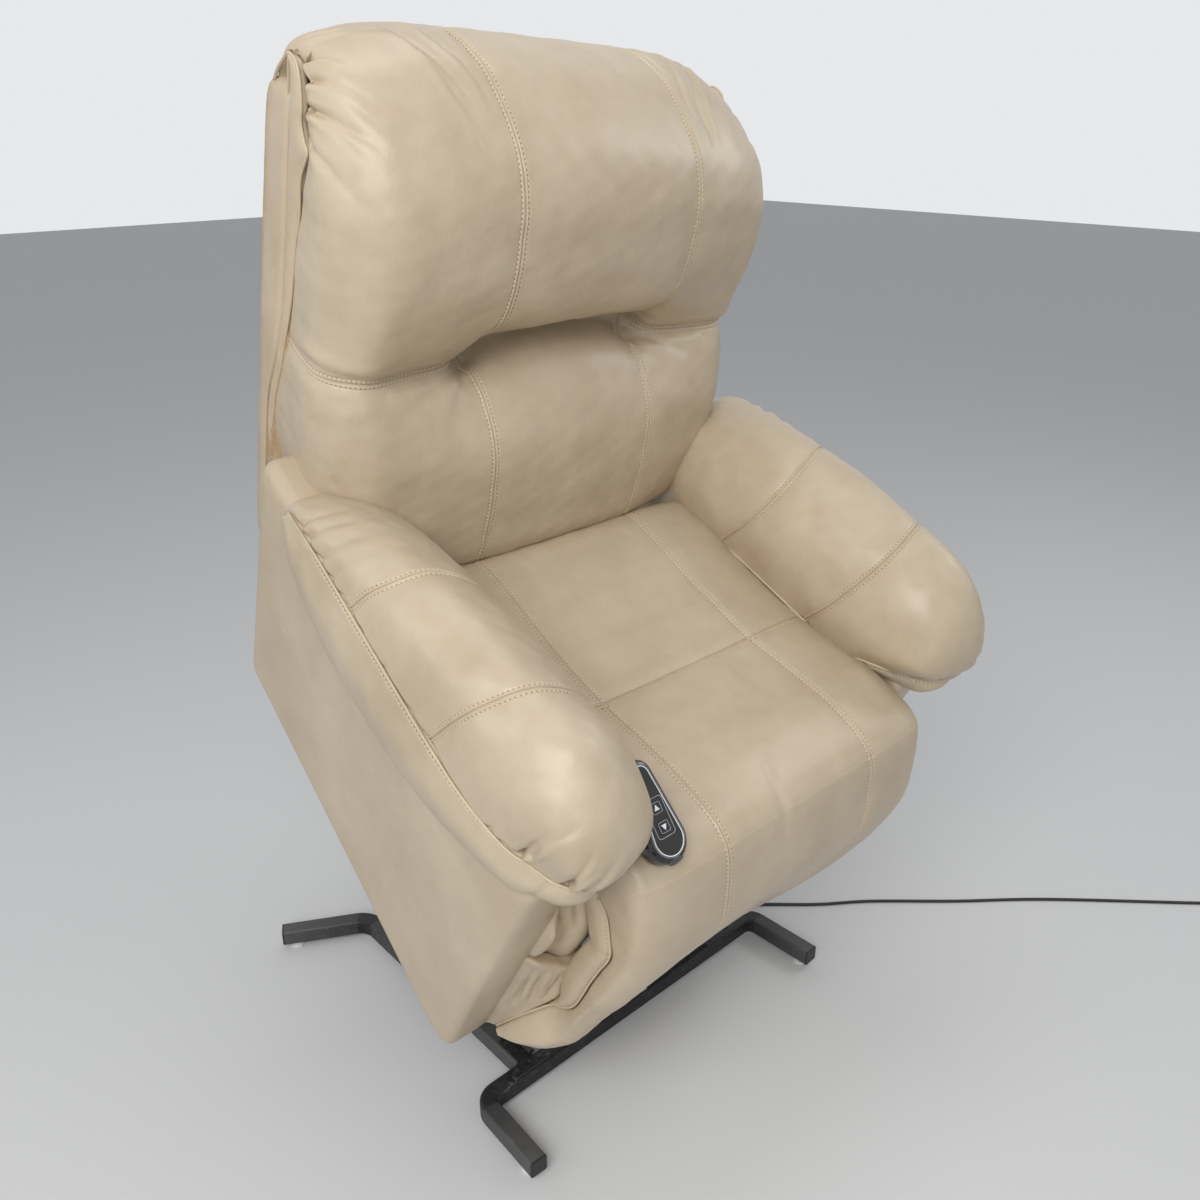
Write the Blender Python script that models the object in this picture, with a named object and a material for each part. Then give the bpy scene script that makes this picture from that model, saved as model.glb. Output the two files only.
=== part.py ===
"""Powered lift recliner chair, standing in its raised, tilted-forward position.

Metres, +Z up, the chair faces -Y and +X is the sitter's left.
Two frames are used: the floor frame, and the chair body's own frame, whose Y runs back along
the seated floor line and whose Z is square to it. The body frame is leaned forward by LIFT_TILT.
"""
import math

import bmesh
import bpy
from mathutils import Matrix, Vector

# ---------------------------------------------------------------- driving dimensions

TOUCH = 0.0003          # gap left between pieces that touch
RUN = 0.0005            # gap beside a plate that turns
PIN_PLAY = 0.0004       # radial play of a pin in its hole
LIFT_TILT = math.radians(36.0)

# floor frame
TUBE = 0.030
TUBE_WALL = 0.002
TUBE_CORNER = 0.004
GLIDE_HEIGHT = 0.012
GLIDE_RADIUS = 0.013
GLIDE_INSET = 0.022
FRONT_TUBE_Y = -0.1164
FRONT_FOOT_X = 0.324
FRONT_FOOT_REACH = 0.146
FRONT_FOOT_SPLAY = math.radians(2.5)
FRONT_BEND = 0.026
RAIL_X = 0.230
RAIL_LENGTH = 0.492
REAR_FOOT_X = 0.372
REAR_FOOT_RISE_BACK = 0.080
REAR_BEND = 0.045
CROSS_TUBE_BACK = 0.430
GUSSET_THICK = 0.003
GUSSET_REACH = 0.055
GUSSET_FLARE = 0.022
CAP_FLANGE = 0.002
CAP_PLUG = 0.012

# lift linkage: pivots on the floor frame are measured back from the front tube and up from the floor
PLATE = 0.005
LINK_RADIUS = 0.014
PIN_RADIUS = 0.006
PIN_HEAD_RADIUS = 0.010
PIN_HEAD = 0.003
LIFT_BRACKET_RIM = 0.011
LIFT_ARM_FOOT = (0.144, 0.252)
FRONT_LINK_FOOT = (0.031, 0.199)
LIFT_ARM_HEAD = (0.399, 0.056)
FRONT_LINK_HEAD = (0.150, 0.038)
FRONT_LINK_SLOT = 0.0115

# chair body frame: its origin is the arm boxes' lower front edge
BODY_BACK = -0.0345
BODY_UP = 0.230
MECHANISM_TOP = 0.262
MECHANISM_DEPTH = 0.050
MECHANISM_FRONT = 0.035
MECHANISM_BACK = 0.625
FRONT_BAR = (0.070, 0.236)
REAR_BAR = (0.460, 0.165)
BAR_RADIUS = 0.011

# upholstery
SEAT_HALF_WIDTH = 0.284
SEAT_DEPTH = 0.545
SEAT_FRONT_HEIGHT = 0.505
SEAT_BACK_HEIGHT = 0.395
DECK_THICK = 0.012
ARM_INNER_X = 0.333
ARM_THICK = 0.0805
ARM_DEPTH = 0.655
ARM_FRONT_HEIGHT = 0.468
ARM_BACK_HEIGHT = 0.462
ARM_RISE = math.radians(6.9)
ARM_FRONT_LEAN = math.radians(7.7)
ARM_BACK_LEAN = math.radians(16.0)
PAD_INNER_X = 0.288
PAD_OUTER_X = 0.452
PAD_CROWN = 0.668
PAD_NOSE = 0.022
PAD_BACK = 0.590
PAD_ROUND = 0.036
# the arm pad's crown: (share of its length back from the nose, share of its height over the arm box)
PAD_SHAPE = [(1.0, 0.32), (0.880, 0.52), (0.754, 0.68), (0.472, 0.91), (0.269, 1.0),
             (0.123, 0.90), (0.042, 0.70), (0.0, 0.42), (0.014, 0.20)]
# the seat's crown: (share of its depth, share of its fall from the front height to the back height)
SEAT_SHAPE = [(0.0, 0.145), (0.073, 0.0), (0.183, 0.07), (0.453, 0.53), (0.734, 0.80), (0.982, 1.0)]

# back
BACK_PIVOT = (SEAT_DEPTH + 0.055, 0.236)
BACK_LEAN = math.radians(18.0)
BACK_HALF_WIDTH = 0.360
LUMBAR_HALF_WIDTH = 0.326
BACK_FOOT = (SEAT_DEPTH + 0.240, 0.246)
BACK_HEIGHT = 0.652
BACK_SKIN = 0.015
BACK_FRAME_THICK = 0.045
BACK_WAIST = 0.346
HEADREST_TOP = 0.721
HEADREST_DEPTH = 0.257
LUMBAR_DEPTH = 0.280
LUMBAR_FOOT = 0.063

# footrest
FOOTREST_PIVOT = (-0.088, 0.442)
FOOTREST_LINK_FOOT = (0.150, 0.234)
FOOTREST_EYE = (0.000, 0.250)
FOOTREST_PLATE = 0.004
BOARD_HALF_WIDTH = 0.265
BOARD_THICK = 0.010
BOARD_BACK = -0.026
BOARD_LOW = 0.030
BOARD_HIGH = SEAT_FRONT_HEIGHT - 0.143
FOOTREST_FRONT = -0.096
FOOTREST_LOW = 0.000

# lift actuator
ACTUATOR_FOOT = (0.042, 0.075)
ACTUATOR_HEAD = (0.450, 0.100)
ACTUATOR_SLEEVE = 0.355
ACTUATOR_SLEEVE_RADIUS = 0.019
ACTUATOR_ROD_RADIUS = 0.010
ACTUATOR_ROD_BACK = 0.235
HOUSING_HALF = 0.015
HOUSING_DEPTH = 0.026
MOTOR_RADIUS = 0.024
MOTOR_OFFSET = 0.051
MOTOR_LENGTH = 0.115

# hand control
HANDSET_X = -0.252
HANDSET_BACK = 0.079
HANDSET_TILT = math.radians(17.0)
HANDSET_LENGTH = 0.132
HANDSET_WIDE = 0.031
HANDSET_NARROW = 0.021
HANDSET_THICK = 0.029
BUTTON_WIDTH = 0.017
BUTTON_LENGTH = 0.015
BUTTON_PROUD = 0.0012
BUTTON_POCKET = 0.004

# mains lead
SUPPLY_SIZE = (0.160, 0.085, 0.042)
SUPPLY_X = 0.030
CORD_RADIUS = 0.003
COIL_TURNS_WIDE = 3
COIL_TURNS_HIGH = 2
COIL_PITCH = 0.0062     # from the middle of one turn to the middle of the next
COIL_RADIUS = 0.034
COIL_TAIL = 0.028
CORD_ROUTE = [
    (0.200, 0.226, 0.0035), (0.262, 0.120, 0.0031), (0.322, 0.010, 0.0031), (0.368, -0.062, 0.0031),
    (0.420, -0.112, 0.0031), (0.486, -0.172, 0.0031), (0.570, -0.236, 0.0031), (0.697, -0.352, 0.0031),
    (0.840, -0.475, 0.0031), (1.056, -0.688, 0.0031), (1.150, -0.775, 0.0031),
]

COLLECTION = bpy.context.scene.collection


# ---------------------------------------------------------------- scene and materials

def clear_scene():
    for item in list(bpy.data.objects):
        bpy.data.objects.remove(item, do_unlink=True)


def material(name, colour, roughness, metallic=0.0):
    made = bpy.data.materials.new(name)
    made.use_nodes = True
    shader = made.node_tree.nodes["Principled BSDF"]
    shader.inputs["Base Color"].default_value = (*colour, 1.0)
    shader.inputs["Roughness"].default_value = roughness
    shader.inputs["Metallic"].default_value = metallic
    return made


clear_scene()
LEATHER = material("leather", (0.52, 0.42, 0.28), 0.42)
BLACK_STEEL = material("black_steel", (0.018, 0.018, 0.020), 0.42, 0.3)
ZINC_STEEL = material("zinc_steel", (0.55, 0.55, 0.54), 0.35, 1.0)
BLACK_PLASTIC = material("black_plastic", (0.012, 0.012, 0.013), 0.45)
GREY_PLASTIC = material("grey_plastic", (0.25, 0.25, 0.26), 0.5)
GLIDE_CHROME = material("glide_chrome", (0.75, 0.75, 0.74), 0.2, 1.0)
PLYWOOD = material("plywood", (0.50, 0.36, 0.20), 0.7)
CORD_RUBBER = material("cord_rubber", (0.010, 0.010, 0.011), 0.55)


# ---------------------------------------------------------------- outlines

def arc(centre, radius, start, end, steps):
    """Points of an arc in a plane, angles in radians."""
    angles = [start + (end - start) * step / steps for step in range(steps + 1)]
    return [(centre[0] + radius * math.cos(a), centre[1] + radius * math.sin(a)) for a in angles]


def circle(radius, sides):
    return [(radius * math.cos(math.tau * s / sides), radius * math.sin(math.tau * s / sides))
            for s in range(sides)]


def smooth_through(points, steps=5):
    """Open Catmull-Rom curve through the points."""
    knots = [Vector(p) for p in points]
    knots = [2 * knots[0] - knots[1]] + knots + [2 * knots[-1] - knots[-2]]
    curve = []
    for a, b, c, d in zip(knots, knots[1:], knots[2:], knots[3:]):
        for step in range(steps):
            t = step / steps
            curve.append(0.5 * (2 * b + (c - a) * t + (2 * a - 5 * b + 4 * c - d) * t * t
                                + (3 * b - a - 3 * c + d) * t ** 3))
    curve.append(knots[-2])
    return [tuple(p) for p in curve]


def hull_outline(discs, sides=20):
    """Convex outline round a set of (y, z, radius) discs."""
    points = []
    for y, z, radius in discs:
        points += [(y + dy, z + dz) for dy, dz in (circle(radius, sides) if radius else [(0.0, 0.0)])]
    points = sorted(set(points))

    def half(chain):
        kept = []
        for p in chain:
            while len(kept) > 1 and turn(kept[-2], kept[-1], p) <= 1e-12:
                kept.pop()
            kept.append(p)
        return kept[:-1]

    return half(points) + half(points[::-1])


def turn(a, b, c):
    return (b[0] - a[0]) * (c[1] - a[1]) - (b[1] - a[1]) * (c[0] - a[0])


def inset(outline, distance):
    """The outline moved inward along its corner bisectors; the outline runs anticlockwise."""
    moved = []
    count = len(outline)
    for i, point in enumerate(outline):
        before = (Vector(point) - Vector(outline[i - 1])).normalized()
        after = (Vector(outline[(i + 1) % count]) - Vector(point)).normalized()
        normal = Vector((-before.y - after.y, before.x + after.x)).normalized()
        stretch = max(normal.dot(Vector((-before.y, before.x))), 0.5)
        moved.append(tuple(Vector(point) + normal * (distance / stretch)))
    return moved


def anticlockwise(outline):
    area = sum(a[0] * b[1] - b[0] * a[1] for a, b in zip(outline, outline[1:] + outline[:1]))
    return outline if area > 0 else outline[::-1]


def rounded_square(half, corner, steps=3):
    points = []
    for quarter in range(4):
        turned = quarter * math.pi / 2
        centre = Vector((half - corner, half - corner))
        centre.rotate(Matrix.Rotation(turned, 2))
        points += arc(centre, corner, turned, turned + math.pi / 2, steps)
    return points


# ---------------------------------------------------------------- solids

def place(name, mesh_data, look, parent=None, location=(0, 0, 0), rotation=(0, 0, 0), smooth=True):
    """Makes the named object from vertices and faces and hangs it on its parent."""
    verts, faces = mesh_data
    mesh = bpy.data.meshes.new(name)
    mesh.from_pydata(verts, [], faces)
    shape = bmesh.new()
    shape.from_mesh(mesh)
    bmesh.ops.recalc_face_normals(shape, faces=shape.faces)
    shape.to_mesh(mesh)
    shape.free()
    made = bpy.data.objects.new(name, mesh)
    COLLECTION.objects.link(made)
    if look:
        mesh.materials.append(look)
    if smooth:
        mesh.shade_smooth()
        mesh.set_sharp_from_angle(angle=math.radians(35))
    made.parent = parent
    made.location = location
    made.rotation_euler = rotation
    return made


def empty(name, parent=None, location=(0, 0, 0), rotation=(0, 0, 0)):
    made = bpy.data.objects.new(name, None)
    COLLECTION.objects.link(made)
    made.parent = parent
    made.location = location
    made.rotation_euler = rotation
    return made


def stack(rings):
    """A closed solid whose skin joins the rings in order, with both end rings filled."""
    count = len(rings[0])
    verts = [tuple(p) for ring in rings for p in ring]
    faces = [tuple(range(count))[::-1], tuple(range(len(verts) - count, len(verts)))]
    for level in range(len(rings) - 1):
        low = level * count
        for i in range(count):
            j = (i + 1) % count
            faces.append((low + i, low + j, low + count + j, low + count + i))
    return verts, faces


def hollow(outer, inner):
    """A pipe: rings of its outer and inner skin, open at both ends."""
    count = len(outer[0])
    levels = len(outer)
    verts = [tuple(p) for ring in outer + inner for p in ring]
    bore = levels * count
    faces = []
    for level in range(levels - 1):
        for i in range(count):
            j = (i + 1) % count
            a, b = level * count, (level + 1) * count
            faces.append((a + i, a + j, b + j, b + i))
            faces.append((bore + a + j, bore + a + i, bore + b + i, bore + b + j))
    for level, flip in ((0, False), (levels - 1, True)):
        a = level * count
        for i in range(count):
            j = (i + 1) % count
            face = (a + j, a + i, bore + a + i, bore + a + j)
            faces.append(face[::-1] if flip else face)
    return verts, faces


def slab(outline, low, high):
    """The outline's flat plate between two X values; the outline is in Y and Z."""
    return stack([[(x, y, z) for y, z in outline] for x in (low, high)])


def pillow(outline, low, high, edge, steps=3):
    """A plate with rounded rims of radius edge."""
    outline = anticlockwise(outline)
    rims = []
    for step in range(steps + 1):
        angle = math.pi / 2 * step / steps
        rims.append((edge * (1 - math.cos(angle)), inset(outline, edge * (1 - math.sin(angle)))))
    rings = [[(low + depth, y, z) for y, z in rim] for depth, rim in rims]
    rings += [[(high - depth, y, z) for y, z in rim] for depth, rim in reversed(rims)]
    return stack(rings)


def turned(profile, sides=20, axis="Z"):
    """A round solid: profile lists (distance along the axis, radius)."""
    rings = []
    for along, radius in profile:
        ring = [(x, y, along) for x, y in circle(radius, sides)]
        if axis == "X":
            ring = [(z, x, y) for x, y, z in ring]
        if axis == "Y":
            ring = [(y, z, x) for x, y, z in ring]
        rings.append(ring)
    return stack(rings)


def box(size, centre=(0, 0, 0)):
    half = [s / 2 for s in size]
    ring = [(-half[0], -half[1]), (half[0], -half[1]), (half[0], half[1]), (-half[0], half[1])]
    return stack([[(centre[0] + x, centre[1] + y, centre[2] + z) for x, y in ring]
                  for z in (-half[2], half[2])])


def combine(target, mesh_data, operation):
    """Cuts the shape from the target or joins it to it, both in the target's own frame."""
    tool = place(target.name + "_tool", mesh_data, None, target.parent, target.location,
                 target.rotation_euler, smooth=False)
    tool.hide_render = True
    tool.display_type = "WIRE"
    step = target.modifiers.new("shape", "BOOLEAN")
    step.operation = operation
    step.solver = "EXACT"
    step.object = tool


def pin_hole(target, point, radius, low, high, side):
    """A hole along X through a plate that lies between low and high."""
    ends = sorted((side * (low - PLATE), side * (high + PLATE)))
    combine(target, move(turned([(x, radius + PIN_PLAY) for x in ends], 24, "X"), point), "DIFFERENCE")


def pin(target, point, stops, side):
    """A stepped pin along X: stops lists (x, radius)."""
    profile = [(side * x, radius) for x, radius in stops]
    combine(target, move(turned(profile, 24, "X"), point), "UNION")


def move(mesh_data, point):
    """Shifts a shape to a point given as (y, z)."""
    verts, faces = mesh_data
    return [(x, y + point[0], z + point[1]) for x, y, z in verts], faces


# ---------------------------------------------------------------- frames

def floor_point(point):
    """A pivot given as (back from the front tube, up)."""
    return Vector((0.0, FRONT_TUBE_Y + point[0], point[1]))


BODY_MATRIX = (Matrix.Translation((0.0, FRONT_TUBE_Y + BODY_BACK, BODY_UP))
               @ Matrix.Rotation(LIFT_TILT, 4, "X"))


def body_point(point):
    """World place of a (y, z) point of the chair body."""
    return BODY_MATRIX @ Vector((0.0, point[0], point[1]))


def toward(point):
    """Minus the (y, z) point: the location that puts a body-frame shape under a pivot empty."""
    return (0.0, -point[0], -point[1])


def side_names():
    return ((1, "left"), (-1, "right"))


# plates lie side by side outward from the lift bracket; each pair is (inner x, outer x)
BRACKET_X = (RAIL_X - TUBE / 2 - TOUCH - PLATE, RAIL_X - TUBE / 2 - TOUCH)
LIFT_ARM_X = (BRACKET_X[0] - RUN - PLATE, BRACKET_X[0] - RUN)
FRONT_LINK_X = (BRACKET_X[1] + RUN, BRACKET_X[1] + RUN + PLATE)
MECHANISM_X = (FRONT_LINK_X[1] + RUN, FRONT_LINK_X[1] + RUN + PLATE)
LINK_A_X = (MECHANISM_X[1] + RUN, MECHANISM_X[1] + RUN + FOOTREST_PLATE)
LINK_B_X = (LINK_A_X[1] + RUN, LINK_A_X[1] + RUN + FOOTREST_PLATE)
EYE_PLATE_X = (LINK_B_X[1] + RUN, LINK_B_X[1] + RUN + FOOTREST_PLATE)
BACK_PLATE_X = (MECHANISM_X[1] + RUN, MECHANISM_X[1] + RUN + PLATE)


# ---------------------------------------------------------------- floor frame

TUBE_MID = GLIDE_HEIGHT + TUBE / 2
TUBE_TOP = GLIDE_HEIGHT + TUBE


def bent_path(corners, radius, steps=7):
    """Flat centre line through the corners, each corner rounded to the radius."""
    path = [Vector(corners[0])]
    for before, corner, after in zip(corners, corners[1:], corners[2:]):
        corner = Vector(corner)
        inward = (Vector(before) - corner).normalized()
        outward = (Vector(after) - corner).normalized()
        half_angle = inward.angle(outward) / 2
        start = corner + inward * (radius / math.tan(half_angle))
        end = corner + outward * (radius / math.tan(half_angle))
        centre = corner + (inward + outward).normalized() * (radius / math.sin(half_angle))
        sweep = (start - centre).angle_signed(end - centre)
        for step in range(steps + 1):
            spoke = start - centre
            spoke.rotate(Matrix.Rotation(-sweep * step / steps, 2))
            path.append(centre + spoke)
    path.append(Vector(corners[-1]))
    return path


def tube_along(path):
    """Square tube with rounded corners along a flat path, open at both ends."""
    outer, inner = [], []
    for i, point in enumerate(path):
        ahead = (path[min(i + 1, len(path) - 1)] - path[max(i - 1, 0)]).normalized()
        across = Vector((ahead.y, -ahead.x))
        for rings, half, corner in ((outer, TUBE / 2, TUBE_CORNER),
                                    (inner, TUBE / 2 - TUBE_WALL, TUBE_CORNER - TUBE_WALL)):
            rings.append([(point.x + across.x * a, point.y + across.y * a, TUBE_MID + b)
                          for a, b in rounded_square(half, corner)])
    return hollow(outer, inner)


def front_tip(side):
    return (side * (FRONT_FOOT_X + FRONT_FOOT_REACH * math.sin(FRONT_FOOT_SPLAY)),
            FRONT_TUBE_Y - FRONT_FOOT_REACH * math.cos(FRONT_FOOT_SPLAY))


def rear_tip(side):
    return side * REAR_FOOT_X, FRONT_TUBE_Y + RAIL_LENGTH + REAR_FOOT_RISE_BACK


def rear_corner(side):
    return side * RAIL_X, FRONT_TUBE_Y + RAIL_LENGTH


def rail_start(side):
    return side * RAIL_X, FRONT_TUBE_Y + TUBE / 2 + TOUCH


def end_cap(name, tip, corner, base):
    """Plug with a flange that closes the tube's open end."""
    outward = (Vector(tip) - Vector(corner)).normalized()
    half_bore = TUBE / 2 - TUBE_WALL - TOUCH
    small = rounded_square(half_bore, TUBE_CORNER - TUBE_WALL)
    large = rounded_square(TUBE / 2, TUBE_CORNER)
    levels = [(-CAP_PLUG, small), (TOUCH, small), (TOUCH, large), (TOUCH + CAP_FLANGE, large),
              (TOUCH + 1.5 * CAP_FLANGE, rounded_square(TUBE / 2 - CAP_FLANGE, TUBE_CORNER / 2))]
    rings = [[(a, along, b) for a, b in ring] for along, ring in levels]
    heading = math.atan2(-outward.x, outward.y)
    place(name, stack(rings), BLACK_PLASTIC, base, (tip[0], tip[1], TUBE_MID), (0, 0, heading))


def glide(name, tip, corner, base):
    """Domed glide under a foot, a little inside its end."""
    outward = (Vector(tip) - Vector(corner)).normalized()
    spot = Vector(tip) - outward * GLIDE_INSET
    profile = [(0.0, GLIDE_RADIUS * 0.75), (0.0015, GLIDE_RADIUS), (0.0045, GLIDE_RADIUS),
               (0.0065, GLIDE_RADIUS * 0.6), (GLIDE_HEIGHT - TOUCH, GLIDE_RADIUS * 0.55)]
    place(name, turned(profile, 24), GLIDE_CHROME, base, (spot.x, spot.y, 0.0))


def gusset(name, side, base):
    """Flat plate with a flared front that ties the rail to the front tube."""
    wide = TUBE / 2 + GUSSET_FLARE
    back = FRONT_TUBE_Y + TUBE / 2 + GUSSET_REACH
    front = FRONT_TUBE_Y - TUBE / 2 + TUBE_CORNER
    half = TUBE / 2 - TUBE_CORNER
    outline = [(-wide, front), (wide, front), (wide, front + 0.010), (half, FRONT_TUBE_Y + TUBE / 2),
               (half, back), (-half, back), (-half, FRONT_TUBE_Y + TUBE / 2), (-wide, front + 0.010)]
    low = TUBE_TOP + TOUCH
    rings = [[(side * (RAIL_X + x), y, z) for x, y in outline] for z in (low, low + GUSSET_THICK)]
    made = place(name, stack(rings), BLACK_STEEL, base, smooth=False)
    for x, y in ((0.0, back - 0.012), (0.014 - wide, FRONT_TUBE_Y), (wide - 0.014, FRONT_TUBE_Y)):
        stud = [(low + GUSSET_THICK / 2, 0.0045), (low + GUSSET_THICK + 0.0015, 0.0045),
                (low + GUSSET_THICK + 0.002, 0.003)]
        verts, faces = turned(stud, 12)
        combine(made, ([(vx + side * (RAIL_X + x), vy + y, vz) for vx, vy, vz in verts], faces), "UNION")


def lift_bracket(name, side, base):
    """Upright plate on the rail that carries the feet of the lift arm and the front link."""
    arm, link = floor_point(LIFT_ARM_FOOT), floor_point(FRONT_LINK_FOOT)
    low = GLIDE_HEIGHT + TUBE_CORNER
    rim = LIFT_BRACKET_RIM
    outline = hull_outline([(arm.y, arm.z, rim), (link.y, link.z, rim),
                            (FRONT_TUBE_Y + TUBE / 2 + 0.002, low, 0), (arm.y + rim, low, 0)])
    made = place(name, slab(outline, *sorted((side * BRACKET_X[0], side * BRACKET_X[1]))),
                 BLACK_STEEL, base, smooth=False)
    pin_hole(made, (arm.y, arm.z), PIN_RADIUS, *BRACKET_X, side)
    pin_hole(made, (link.y, link.z), PIN_RADIUS, *BRACKET_X, side)


def actuator_bracket(base):
    """Fork on the front tube with the pin on which the actuator swings."""
    foot = floor_point(ACTUATOR_FOOT)
    low = TUBE_TOP + TOUCH
    strip_x = HOUSING_HALF + RUN + FOOTREST_PLATE
    strip = box((2 * strip_x, TUBE - 2 * TUBE_CORNER, 0.004), (0, FRONT_TUBE_Y, low + 0.002))
    made = place("actuator_bracket", strip, BLACK_STEEL, base, smooth=False)
    outline = hull_outline([(foot.y, foot.z, LINK_RADIUS), (FRONT_TUBE_Y - 0.009, low, 0),
                            (FRONT_TUBE_Y + 0.009, low, 0)])
    for side in (1, -1):
        inner = side * (HOUSING_HALF + RUN)
        combine(made, slab(outline, *sorted((inner, inner + side * FOOTREST_PLATE))), "UNION")
    reach = strip_x + 0.002
    combine(made, move(turned([(-reach, PIN_RADIUS), (reach, PIN_RADIUS)], 24, "X"),
                       (foot.y, foot.z)), "UNION")


def floor_frame():
    base = empty("floor_frame")
    corners = [front_tip(-1), (-FRONT_FOOT_X, FRONT_TUBE_Y), (FRONT_FOOT_X, FRONT_TUBE_Y), front_tip(1)]
    place("front_foot_tube", tube_along(bent_path(corners, FRONT_BEND)), BLACK_STEEL, base)
    cross_y = FRONT_TUBE_Y + CROSS_TUBE_BACK
    inner = RAIL_X - TUBE / 2 - TOUCH
    place("rear_cross_tube", tube_along([Vector((-inner, cross_y)), Vector((inner, cross_y))]),
          BLACK_STEEL, base)
    for side, word in side_names():
        path = bent_path([rail_start(side), rear_corner(side), rear_tip(side)], REAR_BEND)
        place(word + "_side_rail", tube_along(path), BLACK_STEEL, base)
        gusset(word + "_gusset", side, base)
        lift_bracket(word + "_lift_bracket", side, base)
        front_corner = (side * FRONT_FOOT_X, FRONT_TUBE_Y)
        end_cap(word + "_front_end_cap", front_tip(side), front_corner, base)
        end_cap(word + "_rear_end_cap", rear_tip(side), rear_corner(side), base)
        glide(word + "_front_glide", front_tip(side), front_corner, base)
        glide(word + "_rear_glide", rear_tip(side), rear_corner(side), base)
    actuator_bracket(base)
    return base


# ---------------------------------------------------------------- lift linkage

def link_slab(first, second, x_range, side, radius=LINK_RADIUS):
    outline = hull_outline([(*first, radius), (*second, radius)])
    return slab(outline, *sorted((side * x_range[0], side * x_range[1])))


def lift_arms():
    """Main arms from the floor frame to the chair body."""
    foot = floor_point(LIFT_ARM_FOOT)
    head = body_point(LIFT_ARM_HEAD) - foot
    pivot = empty("lift_arm_pivot", None, foot)
    for side, word in side_names():
        made = place(word + "_lift_arm", link_slab((0, 0), (head.y, head.z), LIFT_ARM_X, side),
                     BLACK_STEEL, pivot, smooth=False)
        inside = (LIFT_ARM_X[0] + LIFT_ARM_X[1]) / 2
        pin(made, (0, 0), [(inside, PIN_RADIUS), (BRACKET_X[1] + TOUCH, PIN_RADIUS)], side)
        pin(made, (head.y, head.z), [(inside, PIN_HEAD_RADIUS), (MECHANISM_X[0] - RUN, PIN_HEAD_RADIUS),
                                     (MECHANISM_X[0] - RUN, PIN_RADIUS), (MECHANISM_X[1] + RUN, PIN_RADIUS),
                                     (MECHANISM_X[1] + RUN, PIN_HEAD_RADIUS),
                                     (MECHANISM_X[1] + RUN + PIN_HEAD, PIN_HEAD_RADIUS)], side)


def front_links():
    """Second pair of links; their upper pins stand in enlarged holes of the side plates."""
    foot = floor_point(FRONT_LINK_FOOT)
    head = body_point(FRONT_LINK_HEAD) - foot
    pivot = empty("front_link_pivot", None, foot)
    for side, word in side_names():
        made = place(word + "_front_link", link_slab((0, 0), (head.y, head.z), FRONT_LINK_X, side),
                     BLACK_STEEL, pivot, smooth=False)
        inside = (FRONT_LINK_X[0] + FRONT_LINK_X[1]) / 2
        pin(made, (0, 0), [(BRACKET_X[0] - RUN - PIN_HEAD, PIN_HEAD_RADIUS),
                           (BRACKET_X[0] - RUN, PIN_HEAD_RADIUS), (BRACKET_X[0] - RUN, PIN_RADIUS),
                           (inside, PIN_RADIUS)], side)
        pin(made, (head.y, head.z), [(inside, PIN_RADIUS), (MECHANISM_X[1], PIN_RADIUS)], side)


# ---------------------------------------------------------------- chair body

def body_frame():
    return empty("body_pivot", None, body_point(LIFT_ARM_HEAD), (LIFT_TILT, 0, 0))


def on_body(name, mesh_data, look, body, smooth=True):
    return place(name, mesh_data, look, body, toward(LIFT_ARM_HEAD), smooth=smooth)


def side_plate(word, side, body):
    """Steel plate under the seat that carries every pivot of the body."""
    low = MECHANISM_TOP - MECHANISM_DEPTH
    round_end = 0.012
    x_range = sorted((side * MECHANISM_X[0], side * MECHANISM_X[1]))
    bar = hull_outline([(y, z, round_end) for y in (MECHANISM_FRONT + round_end, MECHANISM_BACK - round_end)
                        for z in (low + round_end, MECHANISM_TOP - round_end)])
    made = on_body(word + "_side_plate", slab(bar, *x_range), BLACK_STEEL, body, smooth=False)
    web = hull_outline([(*FRONT_LINK_HEAD, FRONT_LINK_SLOT + 0.009), (*LIFT_ARM_HEAD, PIN_RADIUS + 0.012),
                        (*REAR_BAR, BAR_RADIUS + 0.005), (FRONT_LINK_HEAD[0] - 0.03, low + 0.02, 0.012),
                        (REAR_BAR[0] + 0.03, low + 0.02, 0.012)])
    combine(made, slab(web, *x_range), "UNION")
    pin_hole(made, LIFT_ARM_HEAD, PIN_RADIUS, *MECHANISM_X, side)
    pin_hole(made, FRONT_LINK_HEAD, FRONT_LINK_SLOT, *MECHANISM_X, side)
    pin_hole(made, FOOTREST_LINK_FOOT, PIN_RADIUS, *MECHANISM_X, side)
    pin_hole(made, BACK_PIVOT, PIN_RADIUS, *MECHANISM_X, side)


def cross_bars(body):
    reach = MECHANISM_X[0] - TOUCH
    ends = [(-reach, BAR_RADIUS), (reach, BAR_RADIUS)]
    on_body("front_cross_bar", move(turned(ends, 20, "X"), FRONT_BAR), BLACK_STEEL, body)
    rear = on_body("rear_cross_bar", move(turned(ends, 20, "X"), REAR_BAR), BLACK_STEEL, body)
    fork = hull_outline([(*REAR_BAR, BAR_RADIUS + 0.005), (*ACTUATOR_HEAD, LINK_RADIUS)])
    for side in (1, -1):
        inner = side * (ACTUATOR_ROD_RADIUS + 0.001)
        combine(rear, slab(fork, *sorted((inner, inner + side * FOOTREST_PLATE))), "UNION")


DECK_LOW = MECHANISM_TOP + TOUCH
CUSHION_LOW = DECK_LOW + DECK_THICK + TOUCH


def seat_deck(body):
    back = SEAT_DEPTH - 0.015
    outline = [(MECHANISM_FRONT, DECK_LOW), (back, DECK_LOW), (back, DECK_LOW + DECK_THICK),
               (MECHANISM_FRONT, DECK_LOW + DECK_THICK)]
    reach = ARM_INNER_X - TOUCH
    on_body("seat_deck", slab(outline, -reach, reach), PLYWOOD, body, smooth=False)


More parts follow.
